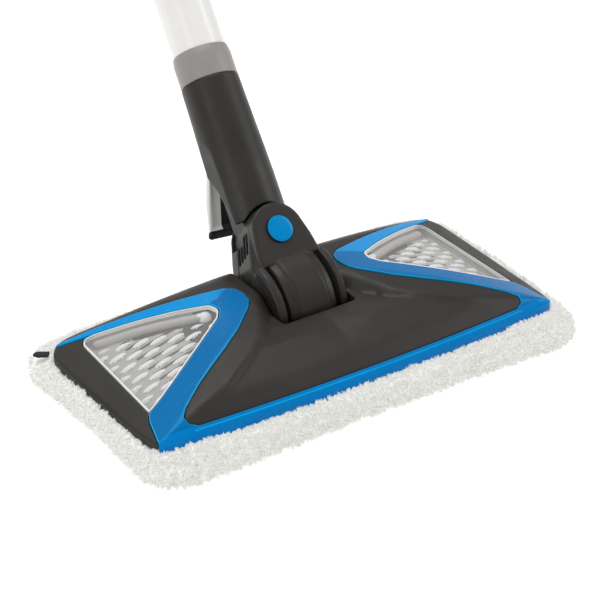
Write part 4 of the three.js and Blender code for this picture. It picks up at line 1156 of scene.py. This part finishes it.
def build_knuckle():
    """The front and rear halves, split on the roll pin's middle, and the caps on the pin's ends."""
    low, high = (-26.5, -35.5, -21), (26.5, CHEEK_REAR + 4, ROLL_HEIGHT + DOME_RADIUS + 1)
    for word, sign, step in (("front", 1, 0.7), ("rear", -1, 0.8)):

        def half(x, y, z):
            return np.maximum(knuckle_field(x, y, z), sign * y + GAP / 2)

        name, node = f"knuckle_skin_{word}", f"knuckle_{word}"
        skin = add_surface(name, "knuckle", "charcoal", node, half, low, high, step)
        # Painted shade: the walls and floors of the vent slots in black.
        paint(skin, "knuckle", "black", in_vents)
    face = [(0, -27.95), (6, -27.9), (7.9, -27.75), (8.45, -27.5), (8.7, -27.0), (8.7, -26.3), (0, -26.3)]
    button = [(0, 15.3), (6.4, 15.2), (7.6, 14.8), (8, 14.1), (8, 13.3), (0, 13.3)]
    front_cap = lathe(face, 72, "y", (0, ROLL_HEIGHT))
    rear_cap = lathe(button, 64, "y", (0, ROLL_HEIGHT))
    disc = add_piece("pin_cap_disc", "knuckle", "blue_cap", *front_cap, "pin_cap_front")
    add_piece("pin_cap_button", "knuckle", "charcoal", *rear_cap, "pin_cap_rear")

    def on_rim(at, normal):
        return np.hypot(at[0], at[2] - ROLL_HEIGHT) > CAP_DISC_RADIUS

    # Painted shade: the front cap's rim in black, for the shadow on its side wall.
    paint(disc, "knuckle", "black", on_rim)


# ---------- neck, pedal and tube ----------
NECK_BOTTOM, NECK_TOP = 12.5, 108
NECK_HEIGHTS = [NECK_BOTTOM, 40, 62, 85, NECK_TOP]
NECK_RADII = [20.6, 20.6, 20.1, 19.4, 18.9]
NECK_BACK = [(-6.5, -5), (-6.5, 14), (1, 37), (14, 57), (24, 60.8), (50, 60.8), (50, -5)]
HINGE = (11, 59)
LUG_HALF, LUG_ROOM = 9, 3.4
PEDAL_SIDE = [
    (14.9, 56.2), (20.6, 58.4), (22, 57), (39.6, 23.4), (43.6, 19), (42, 16.8), (37, 20.4), (18, 50),
]
PEDAL_HOLLOW = [(16, 46), (19.4, 51.4), (37.4, 24), (34, 14)]
PEDAL_FRONT = [(-14.3, 10), (14.3, 10), (14.3, 38), (11.4, 60), (-11.4, 60), (-14.3, 38)]
RIB_PITCH = 4.2
LUG_ARM = [(11, 56.2), (13.6, 53.4), (18, 51.6), (21, 57.4), (19.6, 59.6), (12, 62)]
TUBE_RADIUS, TUBE_WALL, TUBE_TOP = 17.2, 1.6, 640


def neck_field(x, y, z):
    """The neck: an oval tube with a tongue for the roll pin and a recess for the pedal's lug."""
    wall = np.hypot(x, y) - np.interp(z, NECK_HEIGHTS, NECK_RADII)
    flat = np.abs(x) - np.interp(z, [12, 62, 80], [18.9, 18.9, 21])
    outside = slab(np.maximum(wall, flat), z, NECK_BOTTOM, NECK_TOP, 0.6)
    outside = without(0.6, outside, bar(x, z, y, DOME_RADIUS + 1.6, -40, 40, 0.1))
    outside = without(0.8, outside, slab(outline_distance(y, z, NECK_BACK), x, -30, 30, 0.1))
    tongue = np.minimum(
        bar(x, z, y, TONGUE_RADIUS, -TONGUE_HALF, TONGUE_HALF, 0.8),
        block(x, y, z, (-13.5, -TONGUE_HALF, 0), (13.5, TONGUE_HALF, 45), 0.8),
    )
    neck = soft_min(outside, tongue, 0.8)
    half, (hinge_y, hinge_z) = LUG_HALF + 0.4, HINGE
    lug_room = np.minimum(
        bar(y, z, x, LUG_ROOM, -half, half, 0.1, HINGE),
        block(x, y, z, (-half, hinge_y - 2, hinge_z - 9), (half, hinge_y + 14, hinge_z + LUG_ROOM), 0.1),
    )
    pin = bar(x, z, y, PIN_RADIUS + GAP, -40, 40, 0.1)
    tube_seat = bar(x, y, z, 15, 64, 120, 0.1)
    pipe_room = bar(x, y, z, 4.2, 24, 70, 0.1)
    hinge_hole = bar(y, z, x, PIVOT_HOLE, -20, 20, 0.1, HINGE)
    return without(0.4, neck, pin, tube_seat, pipe_room, lug_room, hinge_hole)


def pedal_field(x, y, z):
    """The release pedal: a hollow wedge with cross ribs, an arm and a lug round its pin."""
    wedge = slab(outline_distance(y, z, PEDAL_SIDE), x, -15, 15, 1.2)
    wedge = soft_max(wedge, outline_distance(x, z, PEDAL_FRONT), 2.5)
    wedge = without(0.6, wedge, slab(outline_distance(y, z, PEDAL_HOLLOW), x, -12, 12, 0.5))
    grip = y - 22.5 - 0.5 * (55 - z) - 0.28 * np.cos(2 * math.pi * (z - 20) / RIB_PITCH)
    ribbed = np.where((z < 50) & (z > 24) & (np.abs(x) < 10), np.maximum(wedge, grip - 0.6), wedge)
    arm = slab(outline_distance(y, z, LUG_ARM), x, -LUG_HALF, LUG_HALF, 0.4)
    lug = bar(y, z, x, 3, -LUG_HALF, LUG_HALF, 0.3, HINGE)
    return without(0.3, union(0.8, ribbed, arm, lug), bar(y, z, x, PIVOT_HOLE, -20, 20, 0.1, HINGE))


def sleeve(bore, outside, sides=96):
    """A tube with a straight bore, its outside given by (radius, height) points."""
    first, last = outside[0][1], outside[-1][1]
    return lathe([(bore, first), *outside, (bore, last), (bore, first)], sides)


def build_lower_wand():
    """Neck, pedal, collar and tube."""
    neck = neck_field, (-21.5, -21.5, -18.5), (21.5, 21.5, NECK_TOP + 0.5), 0.75
    add_surface("neck_skin", "wand", "charcoal", "neck_shell", *neck)
    pedal = pedal_field, (-15.5, 6, 15), (15.5, 45, 63.5), 0.55
    lever = add_surface("pedal_skin", "pedal", "light_grey", "release_pedal", *pedal)

    def underside(at, normal):
        inner = (np.abs(at[0]) < 5) | (at[2] < 21.5)
        return ((normal[1] < 0.3) & inner) | (at[1] < 15)

    paint(lever, "pedal", "black", underside)
    foot = NECK_TOP + GAP
    flank = [(18.3, foot), (18.8, foot + 0.5), (18.8, 123.6), (18.7, 124.1)]
    shoulder = [(18.0, 128.1), (17.8, 128.4), (17.65, 128.5)]
    ring = sleeve(TUBE_RADIUS + 0.4, flank + shoulder)
    add_piece("collar_ring", "wand", "grey", *ring, "wand_collar")
    tube = sleeve(TUBE_RADIUS - TUBE_WALL, [(TUBE_RADIUS, foot), (TUBE_RADIUS, TUBE_TOP)], 128)
    add_piece("tube_sleeve", "wand", "tube", *tube, "wand_tube")


# ---------- hand-held steam unit ----------
SOCKET_BOTTOM, SOCKET_SEAT, SOCKET_TOP = 612, 640.4, 662
SPIGOT_RADIUS = 13.8
UNIT_WALL = 2.4
TANK_BOTTOM, TANK_TOP, TANK_BACK = 742, 886, -8
CAP_ROOM_TOP = 903
CAP_Y = -30
TRIGGER_PIVOT = (13.5, 1049)
SCREW_HOLES = [(14, 702), (10, 918), (-6, 1082)]
LOWER_HOOK_Z, SWITCH_Z, LIGHT_Z, GLAND_Z, UPPER_HOOK_Z = 722, 790, 815, 850, 893
HOOK_FACE, HOOK_REACH, HOOK_STEM = 26.4, 17, 2
POST_RADIUS, SMALL_POST, SCREW_SINK = 4.4, 3.6, 3.6

# Sections of the body: height, middle in Y, half width, half depth, squareness.
BODY_SECTIONS = [
    (662.4, 0, 21.5, 21.5, 2),
    (684, 0, 22.5, 23, 2.2),
    (716, -6, 25, 31, 2.8),
    (742, -10, 26, 36, 3.2),
    (888, -10, 26, 36, 3.2),
    (914, -8, 24.5, 32, 3),
    (938, -5, 20, 25, 2.6),
    (956, -4, 16, 19, 2.3),
]
# Middle line of the handle loop: Y, height, half depth, half width.
LOOP_SECTIONS = [
    (-4, 951, 13, 16),
    (19, 968, 13.5, 16),
    (27, 1012, 13.5, 15.5),
    (17, 1060, 13, 15),
    (-6, 1082, 12, 14.5),
    (-30, 1066, 9, 13),
    (-40, 1018, 7.5, 12),
    (-30, 970, 9, 14),
]


def smooth_sections():
    """The body's sections every 2 mm, with the bends between them eased."""
    heights, *columns = zip(*BODY_SECTIONS)
    fine = np.arange(heights[0] - 40, heights[-1] + 40, 2.0)
    kernel = np.ones(9) / 9
    eased = [np.convolve(np.interp(fine, heights, column), kernel, "same") for column in columns]
    return fine, eased


SECTION_HEIGHTS, SECTION_COLUMNS = smooth_sections()


def body_field(x, y, z, inset=0.0):
    """The unit's body, with squared oval sections, or the same body with all walls moved in."""
    middle, half_x, half_y, power = (np.interp(z, SECTION_HEIGHTS, column) for column in SECTION_COLUMNS)
    half_x, half_y = half_x - inset, half_y - inset
    scale = (np.abs(x / half_x) ** power + np.abs((y - middle) / half_y) ** power) ** (1 / power)
    side = (scale - 1) * np.minimum(half_x, half_y)
    return soft_max(side, np.maximum(BODY_SECTIONS[0][0] + inset - z, z - BODY_SECTIONS[-1][0] + inset), 1.5)


def closed_curve(knots, steps=24):
    """Points of a smooth closed curve through the knots, in any number of dimensions."""
    knots = np.array(knots, float)
    points = []
    for i in range(len(knots)):
        around = [knots[(i + k) % len(knots)] for k in (-1, 0, 1, 2)]
        points += [spline(around, t) for t in np.linspace(0, 1, steps, endpoint=False)]
    return np.array(points)


LOOP_LINE = closed_curve(LOOP_SECTIONS)


def loop_field(x, y, z, extra=0.0):
    """An oval bar round the loop's middle line, its size changing along the way."""
    y, z = np.broadcast_arrays(y, z)
    nearest = np.full(y.shape, 1e9)
    depth, width = np.ones(y.shape), np.ones(y.shape)
    for line_y, line_z, half_depth, half_width in LOOP_LINE:
        away = np.hypot(y - line_y, z - line_z)
        closer = away < nearest
        nearest = np.where(closer, away, nearest)
        depth = np.where(closer, half_depth, depth)
        width = np.where(closer, half_width, width)
    depth, width = depth + extra, width + extra
    scale = ((np.abs(x) / width) ** 2.5 + (nearest / depth) ** 2.5) ** 0.4
    return (scale - 1) * np.minimum(depth, width)


def unit_field(x, y, z):
    """Both shells of the steam unit as one hollow body, with its posts, spigot and openings."""
    outside = soft_min(body_field(x, y, z), loop_field(x, y, z), 6)
    inside = np.minimum(body_field(x, y, z, UNIT_WALL), loop_field(x, y, z, -UNIT_WALL))
    whole = np.maximum(outside, -inside)
    spigot = bar(x, y, z, SPIGOT_RADIUS, SOCKET_SEAT + 3, 668, 0.5)
    posts = [bar(y, z, x, POST_RADIUS, -26, 26, 0.4, place) for place in SCREW_HOLES]
    posts += [bar(y, z, x, SMALL_POST, *ends, 0.4, TRIGGER_PIVOT) for ends in ((-20, -6.8), (6.8, 20))]
    whole = np.minimum(whole, np.maximum(union(0.5, *posts), outside))
    whole = np.minimum(whole, spigot)
    cuts = [
        # tank, tank cap and latch
        block(x, y, z, (-40, -70, TANK_BOTTOM - GAP), (40, TANK_BACK + GAP, TANK_TOP + 2 * GAP), 0.5),
        block(x, y, z, (-16, -70, TANK_TOP - 2), (16, TANK_BACK + GAP, CAP_ROOM_TOP), 2),
        block(x, y, z, (-7.3, -70, 908), (7.3, -30, 928), 1),
        # trigger and power switch
        block(x, y, z, (-6.4, -4, 1014), (6.4, 17, 1055), 0.5),
        block(x, y, z, (-8.3, 20, SWITCH_Z - 10.3), (8.3, 40, SWITCH_Z + 10.3), 1),
        # ready light, cord gland and stems of the hooks
        bar(x, z, y, 3.3, 20, 40, 0.1, (0, LIGHT_Z)),
        bar(x, z, y, 5.3, 20, 40, 0.1, (0, GLAND_Z)),
        bar(x, z, y, HOOK_STEM + GAP, 20, 40, 0.1, (0, LOWER_HOOK_Z)),
        bar(x, z, y, HOOK_STEM + GAP, 18, 40, 0.1, (0, UPPER_HOOK_Z)),
        # steam pipe and trigger pin
        bar(x, y, z, 4.3, 640, 690, 0.1),
        bar(y, z, x, PIVOT_HOLE, -11.4, 11.4, 0.1, TRIGGER_PIVOT),
    ]
    for place in SCREW_HOLES:
        cuts += [bar(y, z, x, PIVOT_HOLE, -9, 40, 0.1, place), bar(y, z, x, SCREW_SINK, 9, 40, 0.1, place)]
    return without(0.4, whole, *cuts)


def grip_field(x, y, z):
    """Soft sleeve on the rear of the loop, with cross ribs."""
    ribs = 0.35 * np.cos(2 * math.pi * z / 5.0)
    sleeve_wall = np.maximum(loop_field(x, y, z, 1.9) - ribs, -loop_field(x, y, z, 0.3))
    return soft_max(sleeve_wall, block(x, y, z, (-10.5, 26, 974), (10.5, 70, 1054), 4), 1.2)


def tank_field(x, y, z):
    """The hollow water tank, its front following the unit's body, with a spout on top."""
    bay = block(x, y, z, (-40, -70, TANK_BOTTOM), (40, TANK_BACK, TANK_TOP), 0)
    outer = soft_max(body_field(x, y, z, 0.2), bay, 3)
    spout = bar(x, y, z, 10, TANK_TOP - 1, TANK_TOP + 6, 0.6, (0, CAP_Y))
    room = block(x, y, z, (-40, -70, TANK_BOTTOM + 2.2), (40, TANK_BACK - 2.2, TANK_TOP - 2.2), 2)
    inner = soft_max(body_field(x, y, z, 2.4), room, 3)
    mouth = bar(x, y, z, 8, TANK_TOP - 6, TANK_TOP + 10, 0.2, (0, CAP_Y))
    return np.maximum(soft_min(outer, spout, 1.5), -np.minimum(inner, mouth))


def tank_cap_field(x, y, z):
    """A fluted cap with a grip bar across its top."""
    grooves = np.cos(28 * np.arctan2(y - CAP_Y, x)) > 0.2
    skirt = bar(x, y, z, 12.4, TANK_TOP + 0.8, TANK_TOP + 11, 1.2, (0, CAP_Y)) + 0.35 * grooves
    room = bar(x, y, z, 10.3, TANK_TOP - 1, TANK_TOP + 6.3, 0.2, (0, CAP_Y))
    grip = block(x, y, z, (-10.5, CAP_Y - 1.8, TANK_TOP + 8), (10.5, CAP_Y + 1.8, TANK_TOP + 14.5), 1.5)
    return soft_min(np.maximum(skirt, -room), np.maximum(grip, -room), 1.2)


def hook_field(height, up):
    """A disc on the body, a post, and a lip turned up (1) or down (-1)."""

    def field(x, y, z):
        rise = up * (z - height)
        disc = bar(x, z, y, 8, HOOK_FACE, HOOK_FACE + 3.4, 1, (0, height))
        post = block(x, y, rise, (-6, HOOK_FACE + 1, 0), (6, HOOK_FACE + HOOK_REACH, 5), 1.4)
        lip = block(x, y, rise, (-6, HOOK_FACE + HOOK_REACH - 3.6, 0), (6, HOOK_FACE + HOOK_REACH, 24), 1.7)
        stem = bar(x, z, y, HOOK_STEM, HOOK_FACE - 5, HOOK_FACE + 1, 0.3, (0, height))
        return np.minimum(union(2.0, disc, post, lip), stem)

    return field


TRIGGER_SIDE = [
    (15.6, 1053), (7, 1053), (1, 1046), (-1.4, 1031), (1.6, 1018.6), (6, 1017.4), (9.6, 1024),
    (11.6, 1038), (16.4, 1045),
]


def trigger_field(x, y, z):
    side = outline_distance(y, z, rounded(TRIGGER_SIDE, 4))
    return np.maximum(slab(side, x, -6, 6, 1.6), -bar(y, z, x, PIVOT_HOLE, -9, 9, 0.1, TRIGGER_PIVOT))


def rocker_field(x, y, z):
    """The power switch: a dished rocker with a ring sunk into its upper half."""
    side = [(22.5, -7), (27.6, -9.4), (26.6, 0), (27.6, 9.4), (22.5, 7)]
    outline = rounded([(across, SWITCH_Z + up) for across, up in side], 1.2)
    mark = np.maximum(np.abs(np.hypot(x, z - SWITCH_Z - 5.2) - 1.7) - 0.3, 26.2 - y)
    return np.maximum(slab(outline_distance(y, z, outline), x, -8, 8, 1), -mark)


def latch_field(x, y, z):
    foot = block(x, y, z, (-9, -34, 908.4), (9, -31.5, 916), 0.5)
    pad = block(x, y, z, (-7, -42, 911), (7, -32, 921), 1.4)
    ridges = 0.3 * np.cos(2 * math.pi * z / 2.4) * (y < -40)
    return soft_min(foot, pad + np.maximum(ridges, 0), 0.6)


def button_field(x, y, z):
    foot = block(x, y, z, (-5, -20, 645.3), (5, -16.4, 656.7), 0.6)
    return soft_min(foot, block(x, y, z, (-4, -23.4, 646.5), (4, -19, 655.5), 1.4), 0.5)


def socket_field(x, y, z):
    """The socket that takes the top of the tube, with a hole for its button."""
    radius = np.hypot(x, y)
    flare = np.interp(z, [SOCKET_BOTTOM, 646, 656], [19.4, 21.5, 21.5])
    outer = slab(radius - flare, z, SOCKET_BOTTOM, SOCKET_TOP, 0.9)
    bore = np.where(z < SOCKET_SEAT, radius - 17.5, radius - 14.2)
    hole = block(x, y, z, (-5.3, -30, 645), (5.3, -10, 657), 0.8)
    return np.maximum(np.maximum(outer, -bore), -hole)


def gland_field(x, y, z):
    """The cord's outlet: a collar and a ribbed relief round an open bore."""
    ribbed = 5.6 - 0.7 * (np.cos(2 * math.pi * (y - 30) / 2.4) > 0.2)
    relief = slab(np.hypot(x, z - GLAND_Z) - ribbed, y, 29, 36, 0.4)
    stem = bar(x, z, y, 5, 22, 27, 0.3, (0, GLAND_Z))
    collar = bar(x, z, y, 8, HOOK_FACE, 30, 1, (0, GLAND_Z))
    bore = bar(x, z, y, 3.4, 10, 50, 0.1, (0, GLAND_Z))
    return np.maximum(np.minimum(union(0.5, collar, relief), stem), -bore)


def screw_field(y0, z0):
    """A screw across the unit, its head with a cross recess."""

    def field(x, y, z):
        shank = bar(y, z, x, 1.5, -8, 10, 0.2, (y0, z0))
        head = bar(y, z, x, 3.2, 9.3, 11.6, 0.7, (y0, z0))
        across, up = np.abs(y - y0), np.abs(z - z0)
        arms = np.minimum(np.maximum(across - 0.45, up - 2), np.maximum(up - 0.45, across - 2))
        return np.maximum(np.minimum(shank, head), -np.maximum(arms, 10.6 - x))

    return field


HOOKS = hook_field(LOWER_HOOK_Z, -1), hook_field(UPPER_HOOK_Z, 1)

# Name, body, look and CAD node, then the field, its lowest and highest corner, and the step.
UNIT_PIECES = [
    ("grip_sleeve", "wand", "rubber", "grip_insert", grip_field, (-11, 25, 972), (11, 46, 1056), 0.8),
    ("tank_body", "tank", "water_clear", "water_tank", tank_field, (-27, -47, 741), (27, -7, 893), 1.1),
    ("tank_cap_knob", "cap", "blue", "tank_cap", tank_cap_field, (-13, -43, 886), (13, -17, 901), 0.55),
    ("lower_hook_skin", "wand", "charcoal", "cord_hook_lower", HOOKS[0],
     (-8.5, 20, 697), (8.5, 44, 731), 0.7),
    ("upper_hook_skin", "upper_hook", "charcoal", "cord_hook_upper", HOOKS[1],
     (-8.5, 20, 884), (8.5, 44, 918), 0.7),
    ("trigger_lever", "trigger", "blue", "trigger", trigger_field, (-6.5, -2, 1016), (6.5, 17, 1054), 0.55),
    ("rocker_cap", "rocker", "blue", "power_switch", rocker_field, (-8.5, 22, 780), (8.5, 28, 800), 0.4),
    ("latch_pad", "latch", "blue", "tank_latch", latch_field, (-9.5, -43, 908), (9.5, -31, 921.5), 0.5),
    ("button_pad", "socket_button", "blue", "wand_release_button", button_field,
     (-5.5, -24, 645), (5.5, -16, 657), 0.4),
    ("socket_skin", "wand", "charcoal", "wand_socket", socket_field,
     (-22, -22, 611.5), (22, 22, 662.5), 0.8),
    ("gland_skin", "wand", "rubber", "cord_gland", gland_field, (-8.5, 21, 841), (8.5, 37, 859), 0.45),
]


def build_unit():
    """Both shells, everything that sits in them, the screws and the ready light."""
    for word, sign, start, end in (("left", 1, -27, 1), ("right", -1, -1, 27)):

        def half(x, y, z):
            return np.maximum(unit_field(x, y, z), sign * x + GAP / 2)

        shape = half, (start, -50, 642), (end, 42, 1096), 1.15
        add_surface(f"unit_skin_{word}", "wand", "charcoal", f"unit_shell_{word}", *shape)
    for row in UNIT_PIECES:
        add_surface(*row)
    for i, (y0, z0) in enumerate(SCREW_HOLES, 1):
        shape = screw_field(y0, z0), (-8.5, y0 - 3.7, z0 - 3.7), (12, y0 + 3.7, z0 + 3.7), 0.3
        add_surface(f"unit_screw_head_{i}", "wand", "steel", f"unit_screw_{i}", *shape)
    lamp = [(0, 26.9), (1.2, 26.8), (2.3, 26.3), (2.9, 25.4), (3, 24.8), (3, 21), (0, 21)]
    light = lathe(lamp, 48, "y", (0, LIGHT_Z))
    add_piece("ready_lens", "wand", "clear", *light, "ready_light")


# ---------- remaining CAD pieces ----------
KEPT = {
    "black": ["hook_strip_front", "hook_strip_rear", "base_plate", "tank_bay", "pump", "micro_switch"],
    "rubber": ["pad_pull_tab", "tank_valve"],
    "silver": ["steam_channel"],
    "steel": ["head_screw_1", "head_screw_2", "head_screw_3", "head_screw_4", "pitch_axle", "roll_pin",
              "pedal_pin", "trigger_pin"],
    "silicone": ["joint_hose", "steam_pipe", "steam_hose", "water_hose"],
    "aluminium": ["boiler"],
    "board": ["control_board"],
}
EDGE_ROUNDING = 0.0006


def dress_kept_nodes():
    """Materials and softly rounded edges for the CAD nodes that stay in view."""
    for look, names in KEPT.items():
        for name in names:
            node = frame["nodes"][name]
            node.data.materials.clear()
            node.data.materials.append(LOOKS[look])
            weld = node.modifiers.new("weld", "WELD")
            weld.merge_threshold = 0.00001
            bevel = node.modifiers.new("bevel", "BEVEL")
            bevel.width = EDGE_ROUNDING
            bevel.segments = 2
            bevel.limit_method = "ANGLE"
            bevel.angle_limit = math.radians(30)


add_camera()
add_studio()
add_floor()
build_head()
build_pad()
build_knuckle()
build_lower_wand()
build_unit()
dress_kept_nodes()
